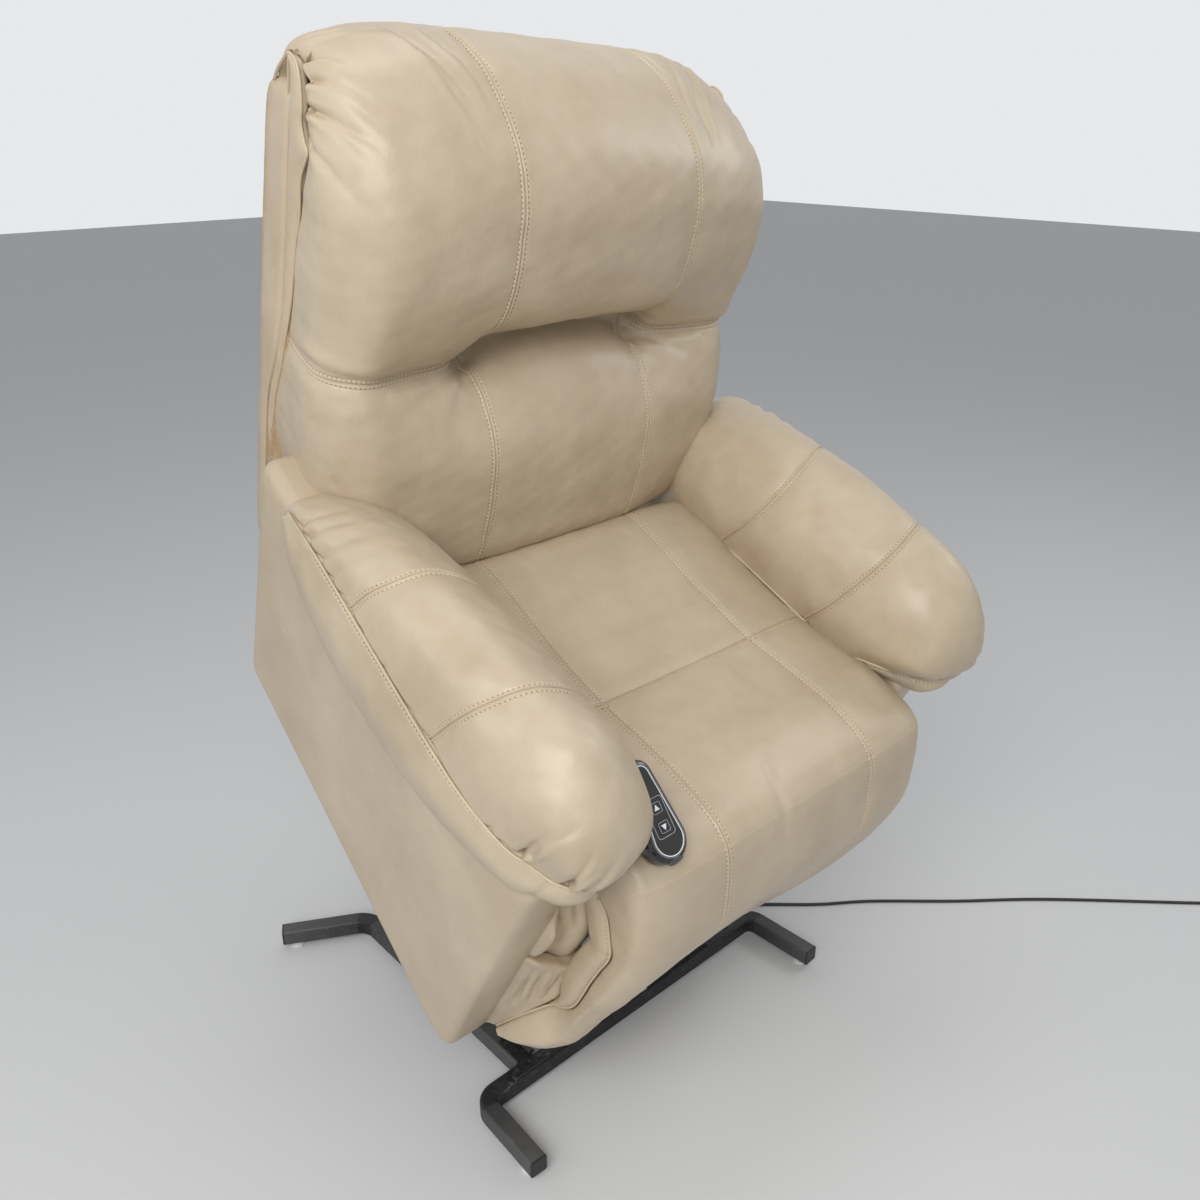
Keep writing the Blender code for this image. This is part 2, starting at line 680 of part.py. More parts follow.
def arm_front(height):
    """Depth of the arm box's front edge at a height."""
    return height * math.tan(ARM_FRONT_LEAN)


def arm_corners():
    """Arm box outline: lower front, lower back, upper back, upper front."""
    low_back = (ARM_DEPTH * math.cos(ARM_RISE), ARM_DEPTH * math.sin(ARM_RISE))
    up = ARM_BACK_HEIGHT - low_back[1]
    high_back = (low_back[0] + up * math.tan(ARM_BACK_LEAN), ARM_BACK_HEIGHT)
    return [(0.0, 0.0), low_back, high_back, (arm_front(ARM_FRONT_HEIGHT), ARM_FRONT_HEIGHT)]


def arm_top(depth):
    """Height of the arm box's top edge at a depth."""
    back, front = arm_corners()[2:]
    return front[1] + (back[1] - front[1]) * (depth - front[0]) / (back[0] - front[0])


def pad_outline():
    """Side outline of the arm pad, flat where it lies on the arm box."""
    crown = []
    for along, up in PAD_SHAPE:
        depth = PAD_NOSE + along * (PAD_BACK - PAD_NOSE)
        crown.append((depth, arm_top(depth) + up * (PAD_CROWN - arm_top(depth))))
    front = arm_front(ARM_FRONT_HEIGHT)
    return ([(PAD_BACK, arm_top(PAD_BACK) + TOUCH)] + smooth_through(crown, 3)
            + [(front, arm_top(front) + TOUCH)])


def arms(body):
    for side, word in side_names():
        x_range = sorted((side * ARM_INNER_X, side * (ARM_INNER_X + ARM_THICK)))
        on_body(word + "_arm_box", pillow(arm_corners(), *x_range, 0.012), LEATHER, body)
        x_range = sorted((side * PAD_INNER_X, side * PAD_OUTER_X))
        on_body(word + "_arm_pad", pillow(pad_outline(), *x_range, PAD_ROUND, 4), LEATHER, body)


def seat_profile():
    fall = SEAT_FRONT_HEIGHT - SEAT_BACK_HEIGHT
    crown = smooth_through([(along * SEAT_DEPTH, SEAT_FRONT_HEIGHT - share * fall)
                            for along, share in SEAT_SHAPE], 3)
    return [(SEAT_DEPTH, CUSHION_LOW), (0.0, CUSHION_LOW)] + crown + [(SEAT_DEPTH, SEAT_BACK_HEIGHT - 0.02)]


def seat(body):
    on_body("seat_cushion", pillow(seat_profile(), -SEAT_HALF_WIDTH, SEAT_HALF_WIDTH, 0.020), LEATHER, body)
    top = SEAT_FRONT_HEIGHT - 0.018
    low = BOARD_HIGH + TOUCH
    front = smooth_through([(-TOUCH, top), (-0.045, top - 0.033), (-0.080, top - 0.082),
                            (FOOTREST_FRONT, low)], 3)
    outline = front + [(BOARD_BACK - BOARD_THICK, low), (-TOUCH, low + 0.024)]
    on_body("chaise_bridge", pillow(outline, -SEAT_HALF_WIDTH, SEAT_HALF_WIDTH, 0.010), LEATHER, body)


def chair_body():
    body = body_frame()
    for side, word in side_names():
        side_plate(word, side, body)
    cross_bars(body)
    seat_deck(body)
    arms(body)
    seat(body)
    return body


# ---------------------------------------------------------------- back

def back_line(up, forward):
    """Point at a distance up the back's rear plane and forward of it."""
    lean_y, lean_z = math.sin(BACK_LEAN), math.cos(BACK_LEAN)
    return (BACK_FOOT[0] + up * lean_y - forward * lean_z, BACK_FOOT[1] + up * lean_z + forward * lean_y)


BACK_FACE = BACK_SKIN + TOUCH + BACK_FRAME_THICK


def crowned(outline, half_width):
    """A cushion on the back's face whose (up, forward) outline is fullest at the middle."""
    seat_plane = BACK_FACE + TOUCH
    frame_top = BACK_HEIGHT + TOUCH
    half = []
    for share, fullness in ((0.43, 1.0), (0.72, 0.96), (0.90, 0.84), (0.975, 0.68), (1.0, 0.45)):
        ring = []
        for up, forward in outline:
            above = max(up - frame_top, 0.0)
            ring.append(back_line(up - above * (1 - fullness),
                                  seat_plane + (forward - seat_plane) * fullness))
        half.append((share * half_width, ring))
    rings = [[(-x, y, z) for y, z in ring] for x, ring in reversed(half)]
    rings += [[(x, y, z) for y, z in ring] for x, ring in half]
    return stack(rings)


def headrest_outline():
    """Side outline of the upper pillow, from its seat on the lumbar pillow over the frame's top."""
    front = smooth_through([
        (BACK_WAIST + TOUCH, 0.178), (BACK_WAIST + 0.060, HEADREST_DEPTH - 0.027),
        (BACK_WAIST + 0.128, HEADREST_DEPTH), (HEADREST_TOP - 0.135, HEADREST_DEPTH - 0.007),
        (HEADREST_TOP - 0.079, HEADREST_DEPTH - 0.039), (HEADREST_TOP - 0.027, 0.153),
        (HEADREST_TOP, 0.056), (HEADREST_TOP - 0.020, 0.012), (BACK_HEIGHT + TOUCH, 0.008)], 3)
    return front + [(BACK_HEIGHT + TOUCH, BACK_FACE + TOUCH), (BACK_WAIST + TOUCH, BACK_FACE + TOUCH)]


def lumbar_outline():
    front = smooth_through([
        (LUMBAR_FOOT - 0.025, 0.200), (LUMBAR_FOOT, LUMBAR_DEPTH - 0.004), (0.110, LUMBAR_DEPTH),
        (0.175, LUMBAR_DEPTH - 0.001), (BACK_WAIST - 0.099, LUMBAR_DEPTH - 0.012),
        (BACK_WAIST - 0.040, 0.232), (BACK_WAIST, 0.178)], 3)
    return front + [(BACK_WAIST, BACK_FACE + TOUCH), (LUMBAR_FOOT - 0.010, BACK_FACE + TOUCH)]


def back(body):
    pivot = empty("back_pivot", body, (0, BACK_PIVOT[0] - LIFT_ARM_HEAD[0], BACK_PIVOT[1] - LIFT_ARM_HEAD[1]))

    def on_back(name, mesh_data, look, smooth=True):
        return place(name, mesh_data, look, pivot, toward(BACK_PIVOT), smooth=smooth)

    def board(near, far):
        return [back_line(0, near), back_line(BACK_HEIGHT, near), back_line(BACK_HEIGHT, far), back_line(0, far)]

    on_back("outside_back", pillow(board(0, BACK_SKIN), -BACK_HALF_WIDTH, BACK_HALF_WIDTH, 0.006, 2), LEATHER)
    on_back("back_frame", pillow(board(BACK_SKIN + TOUCH, BACK_FACE), -BACK_HALF_WIDTH, BACK_HALF_WIDTH,
                                 0.008, 2), PLYWOOD)
    on_back("lumbar_pillow", crowned(lumbar_outline(), LUMBAR_HALF_WIDTH), LEATHER)
    on_back("headrest_pillow", crowned(headrest_outline(), BACK_HALF_WIDTH), LEATHER)

    for side, word in side_names():
        outline = hull_outline([(*BACK_PIVOT, 0.018), (*back_line(0.004, BACK_FACE + TOUCH), 0),
                                (*back_line(0.050, BACK_FACE + TOUCH), 0)])
        x_range = sorted((side * BACK_PLATE_X[0], side * BACK_PLATE_X[1]))
        made = on_back(word + "_back_bracket", slab(outline, *x_range), BLACK_STEEL, smooth=False)
        inside = (BACK_PLATE_X[0] + BACK_PLATE_X[1]) / 2
        pin(made, BACK_PIVOT, [(MECHANISM_X[0] - RUN - PIN_HEAD, PIN_HEAD_RADIUS),
                               (MECHANISM_X[0] - RUN, PIN_HEAD_RADIUS), (MECHANISM_X[0] - RUN, PIN_RADIUS),
                               (inside, PIN_RADIUS)], side)


# ---------------------------------------------------------------- footrest

def footrest(body):
    """Board and pad that swing out, with a pair of folding links on each side."""
    def pivot_at(name, point):
        return empty(name, body, (0, point[0] - LIFT_ARM_HEAD[0], point[1] - LIFT_ARM_HEAD[1]))

    board_pivot = pivot_at("footrest_pivot", FOOTREST_PIVOT)
    link_a_pivot = pivot_at("footrest_link_a_pivot", FOOTREST_LINK_FOOT)
    knee = (FOOTREST_LINK_FOOT[0] + FOOTREST_EYE[0] - FOOTREST_PIVOT[0],
            FOOTREST_LINK_FOOT[1] + FOOTREST_EYE[1] - FOOTREST_PIVOT[1])
    link_b_pivot = pivot_at("footrest_link_b_pivot", knee)

    face = BOARD_BACK - BOARD_THICK
    board = [(BOARD_BACK, BOARD_LOW), (BOARD_BACK, BOARD_HIGH), (face, BOARD_HIGH), (face, BOARD_LOW)]
    place("footrest_board", slab(board, -BOARD_HALF_WIDTH, BOARD_HALF_WIDTH), PLYWOOD, board_pivot,
          toward(FOOTREST_PIVOT), smooth=False)
    front = smooth_through([
        (FOOTREST_FRONT, BOARD_HIGH - TOUCH), (FOOTREST_FRONT - 0.001, 0.220), (FOOTREST_FRONT + 0.001, 0.100),
        (FOOTREST_FRONT + 0.006, FOOTREST_LOW + 0.036)], 3)
    pad = front + [(FOOTREST_FRONT + 0.014, FOOTREST_LOW + 0.014), (FOOTREST_FRONT + 0.034, FOOTREST_LOW),
                   (face - TOUCH, FOOTREST_LOW + 0.022), (face - TOUCH, BOARD_HIGH - TOUCH)]
    place("footrest_pad", pillow(pad, -SEAT_HALF_WIDTH, SEAT_HALF_WIDTH, 0.014), LEATHER, board_pivot,
          toward(FOOTREST_PIVOT))

    for side, word in side_names():
        eye = hull_outline([(*FOOTREST_EYE, 0.012), (BOARD_BACK + TOUCH, FOOTREST_EYE[1] - 0.05, 0),
                            (BOARD_BACK + TOUCH, FOOTREST_EYE[1] + 0.05, 0)])
        made = place(word + "_footrest_bracket",
                     slab(eye, *sorted((side * EYE_PLATE_X[0], side * EYE_PLATE_X[1]))),
                     BLACK_STEEL, board_pivot, toward(FOOTREST_PIVOT), smooth=False)
        pin_hole(made, FOOTREST_EYE, PIN_RADIUS, *EYE_PLATE_X, side)
        made = place(word + "_footrest_link_a", link_slab(FOOTREST_LINK_FOOT, knee, LINK_A_X, side, 0.012),
                     BLACK_STEEL, link_a_pivot, toward(FOOTREST_LINK_FOOT), smooth=False)
        inside = (LINK_A_X[0] + LINK_A_X[1]) / 2
        pin(made, FOOTREST_LINK_FOOT, [(MECHANISM_X[0] - RUN, PIN_RADIUS), (inside, PIN_RADIUS)], side)
        pin_hole(made, knee, PIN_RADIUS, *LINK_A_X, side)
        made = place(word + "_footrest_link_b", link_slab(knee, FOOTREST_EYE, LINK_B_X, side, 0.012),
                     BLACK_STEEL, link_b_pivot, toward(knee), smooth=False)
        inside = (LINK_B_X[0] + LINK_B_X[1]) / 2
        pin(made, knee, [(LINK_A_X[0], PIN_RADIUS), (inside, PIN_RADIUS)], side)
        pin(made, FOOTREST_EYE, [(inside, PIN_RADIUS), (EYE_PLATE_X[1] + RUN, PIN_RADIUS),
                                 (EYE_PLATE_X[1] + RUN, 0.009), (EYE_PLATE_X[1] + RUN + PIN_HEAD, 0.009)],
            side)


# ---------------------------------------------------------------- lift actuator

def actuator():
    """Motor, gear housing and sleeve swing on the floor frame; the rod slides out to the body."""
    foot = floor_point(ACTUATOR_FOOT)
    reach = body_point(ACTUATOR_HEAD) - foot
    length = reach.length
    pivot = empty("actuator_pivot", None, foot, (math.atan2(reach.z, reach.y), 0, 0))

    wall = 0.003
    bore = ACTUATOR_ROD_RADIUS + TOUCH
    housing_end = 0.075
    housing = [(-LINK_RADIUS, -HOUSING_DEPTH), (housing_end, -HOUSING_DEPTH),
               (housing_end, MOTOR_OFFSET + MOTOR_RADIUS), (0.010, MOTOR_OFFSET + MOTOR_RADIUS),
               (-LINK_RADIUS, 0.030)]
    body = place("actuator_body", pillow(housing, -HOUSING_HALF, HOUSING_HALF, wall, 2), BLACK_PLASTIC, pivot)
    combine(body, turned([(housing_end - wall, ACTUATOR_SLEEVE_RADIUS),
                          (ACTUATOR_SLEEVE, ACTUATOR_SLEEVE_RADIUS)], 24, "Y"), "UNION")
    combine(body, turned([(ACTUATOR_ROD_BACK - 0.165, bore), (ACTUATOR_SLEEVE + wall, bore)], 24, "Y"),
            "DIFFERENCE")
    combine(body, turned([(-HOUSING_HALF - wall, PIN_RADIUS + PIN_PLAY),
                          (HOUSING_HALF + wall, PIN_RADIUS + PIN_PLAY)], 24, "X"), "DIFFERENCE")
    motor = [(housing_end + TOUCH, MOTOR_RADIUS), (housing_end + MOTOR_LENGTH - 0.006, MOTOR_RADIUS),
             (housing_end + MOTOR_LENGTH, MOTOR_RADIUS - 0.006)]
    place("actuator_motor", turned(motor, 28, "Y"), BLACK_PLASTIC, pivot, (0, 0, MOTOR_OFFSET))

    rod = place("actuator_rod", turned([(ACTUATOR_ROD_BACK, ACTUATOR_ROD_RADIUS - TOUCH),
                                        (length, ACTUATOR_ROD_RADIUS - TOUCH)], 24, "Y"), ZINC_STEEL, pivot)
    eye = ACTUATOR_ROD_RADIUS - TOUCH
    combine(rod, move(turned([(-eye, LINK_RADIUS), (eye, LINK_RADIUS)], 24, "X"), (length, 0)), "UNION")


# ---------------------------------------------------------------- hand control

def plan_pillow(outline, low, high, edge, steps=3):
    """A plate in X and Y with rounded rims, between two heights."""
    verts, faces = pillow(outline, low, high, edge, steps)
    return [(y, z, x) for x, y, z in verts], faces


def handset(body):
    """Hand control lying on the seat's front corner beside the right arm pad."""
    slope = math.tan(HANDSET_TILT)
    lift = max(z - (y - HANDSET_BACK) * slope for y, z in seat_profile()) + TOUCH
    pivot = empty("handset_rest", body, (HANDSET_X, HANDSET_BACK - LIFT_ARM_HEAD[0], lift - LIFT_ARM_HEAD[1]),
                  (HANDSET_TILT, 0, 0))
    wide_y = -HANDSET_LENGTH / 2 + HANDSET_WIDE
    narrow_y = HANDSET_LENGTH / 2 - HANDSET_NARROW
    outline = hull_outline([(0.0, wide_y, HANDSET_WIDE), (0.0, narrow_y, HANDSET_NARROW)], 32)
    shell = place("handset", plan_pillow(outline, 0.0, HANDSET_THICK, 0.008), BLACK_PLASTIC, pivot)
    for name, middle in (("up_button", 0.003), ("down_button", -0.021)):
        half_x, half_y = BUTTON_WIDTH / 2, BUTTON_LENGTH / 2
        corner = 0.003
        shape = hull_outline([(x, middle + y, corner) for x in (corner - half_x, half_x - corner)
                              for y in (corner - half_y, half_y - corner)], 12)
        pocket_low = HANDSET_THICK - BUTTON_POCKET
        pocket = plan_pillow(inset(shape, -TOUCH), pocket_low, HANDSET_THICK + 0.01, 0.0001, 1)
        combine(shell, pocket, "DIFFERENCE")
        place(name, plan_pillow(shape, pocket_low + BUTTON_PROUD + TOUCH, HANDSET_THICK + BUTTON_PROUD,
                                0.0008, 1), GREY_PLASTIC, pivot)


# ---------------------------------------------------------------- mains lead

def power_supply(base):
    """Supply box on the floor against the rear cross tube, with the gland of the mains lead."""
    x, y, z = SUPPLY_SIZE
    middle_y = FRONT_TUBE_Y + CROSS_TUBE_BACK - TUBE / 2 - TOUCH - y / 2
    corner = 0.006
    outline = hull_outline([(middle_y + a * (y / 2 - corner), z / 2 + b * (z / 2 - corner), corner)
                            for a in (-1, 1) for b in (-1, 1)], 12)
    place("power_supply", pillow(outline, SUPPLY_X - x / 2, SUPPLY_X + x / 2, 0.004, 2), BLACK_PLASTIC, base)
    start = SUPPLY_X + x / 2 + TOUCH
    profile = [(start, 0.006), (start + 0.004, 0.006), (start + 0.018, 0.0042)]
    place("mains_gland", move(turned(profile, 16, "X"), (middle_y, 0.016)), CORD_RUBBER, base)
    return Vector((start + 0.018 + TOUCH, middle_y, 0.016))


def mains_lead(base):
    gland = power_supply(base)
    approach = [gland, gland + Vector((0.012, 0, 0)), gland + Vector((0.034, -0.010, -0.010))]
    last = Vector(CORD_ROUTE[-1])
    heading = (last - Vector(CORD_ROUTE[-2])).normalized()
    curve = bpy.data.curves.new("mains_cord", "CURVE")
    curve.dimensions = "3D"
    curve.bevel_depth = CORD_RADIUS
    curve.bevel_resolution = 2
    curve.use_fill_caps = True
    knots = approach + [Vector(p) for p in CORD_ROUTE]
    points = smooth_through([tuple(k) for k in knots], 6)
    spline = curve.splines.new("POLY")
    spline.points.add(len(points) - 1)
    for item, point in zip(spline.points, points):
        item.co = (*point, 1.0)
    curve.materials.append(CORD_RUBBER)
    cord = bpy.data.objects.new("mains_cord", curve)
    COLLECTION.objects.link(cord)
    cord.parent = base

    side = Vector((-heading.y, heading.x, 0.0))
    track = COIL_RADIUS + COIL_TURNS_WIDE * COIL_PITCH / 2
    outer = track + CORD_RADIUS
    inner = 2 * COIL_RADIUS - outer
    height = 2 * CORD_RADIUS + (COIL_TURNS_HIGH - 1) * COIL_PITCH + TOUCH
    entry = math.sqrt((outer + CORD_RADIUS + TOUCH) ** 2 - track ** 2)
    centre = Vector((last.x, last.y, 0.0)) + heading * entry + side * track
    rings_out = [[(x, y, z) for x, y in circle(outer, 48)] for z in (TOUCH, height)]
    rings_in = [[(x, y, z) for x, y in circle(inner, 48)] for z in (TOUCH, height)]
    coil = place("mains_coil", hollow(rings_out, rings_in), CORD_RUBBER, base, centre,
                 (0, 0, math.atan2(heading.y, heading.x)))
    top_turn = CORD_RADIUS + (COIL_TURNS_HIGH - 1) * COIL_PITCH + TOUCH
    tail, faces = turned([(0.0, CORD_RADIUS), (COIL_TAIL, CORD_RADIUS)], 16, "X")
    combine(coil, ([(x, y - track, z + top_turn) for x, y, z in tail], faces), "UNION")
    mains_plug(base, centre - side * track + heading * (COIL_TAIL + TOUCH), heading, top_turn)


def mains_plug(base, spot, direction, height):
    """Two-pin plug on the end of the coil's tail."""
    levels = [(0.0, 0.004), (0.010, 0.005), (0.016, 0.0075), (0.034, 0.0088), (0.040, 0.0088)]
    rings = []
    for along, half in levels:
        rings.append([(a * 1.4, along, b) for a, b in rounded_square(half, half * 0.45)])
    heading = math.atan2(-direction.x, direction.y)
    plug = place("mains_plug", stack(rings), CORD_RUBBER, base, (spot.x, spot.y, height), (0, 0, heading))
    for a in (-0.0063, 0.0063):
        combine(plug, box((0.0016, 0.020, 0.0063), (a, 0.049, 0.0)), "UNION")


def build():
    base = floor_frame()
    lift_arms()
    front_links()
    body = chair_body()
    back(body)
    footrest(body)
    actuator()
    handset(body)
    mains_lead(base)


build()
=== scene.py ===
"""Dresses the powered lift recliner: padded leather, seams, steel frame, hand control and mains lead.

Everything is in metres in the model's own frame: the floor is z = 0, the chair faces -Y and +X is
the sitter's left. Soft pieces are drawn as nets of points in the chair's own seated frame or in the
back's frame, and each net becomes one smooth skin.
"""
import math

import bpy
import numpy as np
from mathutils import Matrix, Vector


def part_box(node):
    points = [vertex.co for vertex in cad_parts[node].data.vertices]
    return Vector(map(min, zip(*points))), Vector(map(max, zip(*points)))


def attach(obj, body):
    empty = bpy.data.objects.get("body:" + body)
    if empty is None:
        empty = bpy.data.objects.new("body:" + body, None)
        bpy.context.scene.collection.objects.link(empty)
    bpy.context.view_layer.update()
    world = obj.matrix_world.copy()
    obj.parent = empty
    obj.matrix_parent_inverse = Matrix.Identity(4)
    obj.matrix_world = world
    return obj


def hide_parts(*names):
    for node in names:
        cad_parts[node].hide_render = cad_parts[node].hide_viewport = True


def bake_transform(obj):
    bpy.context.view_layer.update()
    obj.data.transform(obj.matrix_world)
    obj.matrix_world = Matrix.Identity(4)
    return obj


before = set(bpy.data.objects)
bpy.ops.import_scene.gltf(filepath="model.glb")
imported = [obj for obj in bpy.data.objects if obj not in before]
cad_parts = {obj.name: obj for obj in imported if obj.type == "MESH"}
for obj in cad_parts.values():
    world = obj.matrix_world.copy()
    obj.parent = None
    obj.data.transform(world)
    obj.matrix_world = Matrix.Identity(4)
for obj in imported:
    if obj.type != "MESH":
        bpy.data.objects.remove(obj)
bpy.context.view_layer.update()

# ---------------------------------------------------------------- frames of the chair

LIFT_TILT = math.radians(36.0)
BODY_ORIGIN = (0.0, -0.1509, 0.230)   # lower front edge of the arm boxes
BACK_LEAN = math.radians(18.0)
BACK_FOOT = (0.785, 0.246)            # depth and height of the lower end of the back
SIDES = {-1: "right", 1: "left"}      # the sign of x on each side of the sitter


def body_frame(points):
    """Places in the model's frame of (x, depth, height) points of the seated chair."""
    x, depth, height = np.moveaxis(np.asarray(points, float), -1, 0)
    c, s = math.cos(LIFT_TILT), math.sin(LIFT_TILT)
    _, front, floor_gap = BODY_ORIGIN
    return np.stack([x, front + depth * c - height * s, floor_gap + depth * s + height * c], -1)


def back_frame(points):
    """Places in the model's frame of (x, up, forward) points of the back."""
    x, up, forward = np.moveaxis(np.asarray(points, float), -1, 0)
    c, s = math.cos(BACK_LEAN), math.sin(BACK_LEAN)
    depth, height = BACK_FOOT
    return body_frame(np.stack([x, depth + up * s - forward * c, height + up * c + forward * s], -1))


def mirrored(half):
    """A whole net from its +X half, whose first column is the middle."""
    half = np.asarray(half, float)
    return np.concatenate([half[:, :0:-1] * (-1, 1, 1), half], 1)


def other_side(points, side):
    """Points given for the left side, brought to a side."""
    return np.asarray(points, float) * (side, 1, 1)


def side_net(net, side, turned=False):
    """A net given for the left side, brought to a side, its columns in the order that faces it outwards."""
    net = other_side(net, side)
    return net[:, ::-1] if (side > 0) == turned else net


# ---------------------------------------------------------------- shader kit

class Wire:
    """A shader value that can be worked with like a number."""

    def __init__(self, sheet, socket):
        self.sheet = sheet
        self.socket = socket

    def __add__(self, other):
        return self.sheet.maths("ADD", self, other)

    def __mul__(self, other):
        return self.sheet.maths("MULTIPLY", self, other)

    def __rsub__(self, other):
        return self.sheet.maths("SUBTRACT", other, self)

    def between(self, low, high):
        """0 below low, 1 above high."""
        return self.sheet.node("ShaderNodeMapRange", {"clamp": True}, (self, low, high, 0.0, 1.0))


class Finish:
    """One material and the nodes in it."""

    def __init__(self, name):
        self.material = bpy.data.materials.new(name)
        self.material.use_nodes = True
        self.tree = self.material.node_tree
        self.shader = self.tree.nodes["Principled BSDF"]

    def node(self, kind, settings, inputs, output=0):
        """Adds a node: its settings first, then the values or wires of its sockets."""
        made = self.tree.nodes.new(kind)
        for key, value in settings.items():
            setattr(made, key, value)
        pairs = inputs.items() if isinstance(inputs, dict) else enumerate(inputs)
        for key, value in pairs:
            self.feed(made.inputs[key], value)
        return Wire(self, made.outputs[output])

    def feed(self, socket, value):
        if isinstance(value, Wire):
            self.tree.links.new(value.socket, socket)
        elif isinstance(value, (tuple, list)) and len(value) == 3 and socket.type == "RGBA":
            socket.default_value = (*value, 1.0)
        else:
            socket.default_value = value

    def maths(self, operation, *values):
        return self.node("ShaderNodeMath", {"operation": operation}, values)

    def place(self, stretch=(1.0, 1.0, 1.0)):
        here = self.node("ShaderNodeTexCoord", {}, (), "Object")
        return self.node("ShaderNodeMapping", {}, {"Vector": here, "Scale": stretch})

    def noise(self, scale, detail, roughness=0.5, stretch=(1.0, 1.0, 1.0), distortion=0.0):
        return self.node("ShaderNodeTexNoise", {},
                         {"Vector": self.place(stretch), "Scale": scale, "Detail": detail,
                          "Roughness": roughness, "Distortion": distortion})

    def cells(self, scale, feature="F1"):
        return self.node("ShaderNodeTexVoronoi", {"feature": feature},
                         {"Vector": self.place(), "Scale": scale}, "Distance")

    def mix(self, share, first, second):
        return self.node("ShaderNodeMix", {"data_type": "RGBA"}, {0: share, 6: first, 7: second}, 2)

    def edges(self, low, high):
        """1 on worn convex edges."""
        return self.node("ShaderNodeNewGeometry", {}, (), "Pointiness").between(low, high)

    def bump(self, height, distance, strength, under=None):
        inputs = {"Strength": strength, "Distance": distance, "Height": height}
        if under:
            inputs["Normal"] = under
        return self.node("ShaderNodeBump", {}, inputs)

    def set(self, **sockets):
        for key, value in sockets.items():
            self.feed(self.shader.inputs[key.replace("_", " ")], value)
        return self.material


def srgb(*values):
    """A colour given as it is seen, 0 to 255."""
    return tuple(((v / 255 + 0.055) / 1.055) ** 2.4 for v in values)


def leather(name, light, dark, rough=0.34, shaded_holes=False):
    """Smooth top-grain leather: fine pebbles, soft creasing, mottled dye and lighter worn edges."""
    f = Finish(name)
    mottle = f.noise(7.0, 4.0, 0.55).between(0.32, 0.68)
    cloud = f.noise(38.0, 3.0, 0.5).between(0.25, 0.75)
    tone = f.mix(mottle * 0.55 + cloud * 0.25, dark, light)
    worn = f.mix(f.edges(0.52, 0.60) * 0.35, tone, tuple(min(1.0, c * 1.28) for c in light))
    speck = f.cells(430.0, "DISTANCE_TO_EDGE").between(0.0, 0.05)
    colour = f.mix((1 - speck) * 0.10, worn, dark)
    if shaded_holes:   # the bead in each stitch hole gets painted shade: darker than the thread
        stitch_hole_shade = f.node("ShaderNodeAttribute", {"attribute_name": "stitch_hole_shade"}, (), "Fac")
        colour = f.mix(stitch_hole_shade, colour, srgb(128, 110, 86))
    pores = f.cells(820.0).between(0.05, 0.75)
    grain = f.noise(1500.0, 2.0, 0.6)
    relief = f.bump(f.noise(22.0, 3.0, 0.5), 0.0028, 0.5)
    relief = f.bump(f.noise(120.0, 5.0, 0.62, (1.0, 1.0, 0.55), 0.6), 0.0009, 0.45, relief)
    relief = f.bump(pores * 0.7 + grain * 0.3, 0.00016, 0.8, relief)
    return f.set(Base_Color=colour, Normal=relief, Coat_Weight=0.22, Coat_Roughness=0.28,
                 Roughness=cloud * 0.10 + mottle * 0.06 + rough, Specular_IOR_Level=0.5)


LEATHER = leather("tan_leather", srgb(203, 187, 162), srgb(180, 162, 136))
# The thread's finish also paints the beads in the stitch holes darker: painted shade.
THREAD = leather("seam_thread", srgb(218, 202, 174), srgb(200, 183, 154), 0.47, True)
PIPING = leather("piping_leather", srgb(203, 187, 160), srgb(178, 160, 133))

# ---------------------------------------------------------------- skins

SEAM_ROW = 0.0052        # from a seam's groove to each stitch row
STITCH_STEP = 0.0062
STITCH_LENGTH = 0.0041
STITCH_RADIUS = 0.00074
PIPING_RADIUS = 0.0022
NEVER = 1e-12            # keeps a length off zero before it divides


def unit(vectors):
    """Vectors brought to length 1."""
    return vectors / np.maximum(np.linalg.norm(vectors, axis=-1, keepdims=True), NEVER)


def spline(knots, t):
    """Smooth curve through the knots, at knot numbers t."""
    k = np.asarray(knots, float)
    k = np.concatenate([2 * k[:1] - k[1:2], k, 2 * k[-1:] - k[-2:-1]])
    i = np.clip(np.floor(t).astype(int), 0, len(k) - 4)
    s = (t - i).reshape(-1, *([1] * (k.ndim - 1)))
    a, b, c, d = k[i], k[i + 1], k[i + 2], k[i + 3]
    bend = 2 * a - 5 * b + 4 * c - d
    return 0.5 * (2 * b + (c - a) * s + bend * s ** 2 + (3 * b - a - 3 * c + d) * s ** 3)


def lengths(points):
    """Distance along a polyline at each of its points."""
    return np.concatenate([[0.0], np.cumsum(np.linalg.norm(np.diff(points, axis=0), axis=1))])


def even(knots, step):
    """Knot numbers that space points evenly along the curve."""
    t = np.linspace(0, len(knots) - 1, 40 * len(knots))
    along = lengths(spline(knots, t))
    return np.interp(np.linspace(0, along[-1], max(3, int(along[-1] / step) + 1)), along, t)


def smooth_line(points, step=0.004):
    points = np.asarray(points, float)
    return spline(points, even(points, step))


def near(q, path, normals):
    """Distance of points from a path, signed distance to its left, and how far along it, 0 to 1."""
    along = lengths(path)
    best = np.full(len(q), 1e9)
    signed = np.zeros(len(q))
    share = np.zeros(len(q))
    for a, b, la, lb in zip(path, path[1:], along, along[1:]):
        d = b - a
        s = np.clip(((q - a) @ d) / max(d @ d, NEVER), 0, 1)
        off = q - (a + s[:, None] * d)
        dist = np.linalg.norm(off, axis=1)
        closer = dist < best
        left = (off * unit(np.cross(normals, d))).sum(1)
        best = np.where(closer, dist, best)
        share = np.where(closer, (la + s * (lb - la)) / along[-1], share)
        signed = np.where(closer, np.where(left < 0, -dist, dist), signed)
    return best, signed, share


def bell(d, width):
    """1 at distance 0, falling off smoothly."""
    return np.exp(-(d / width) ** 2)


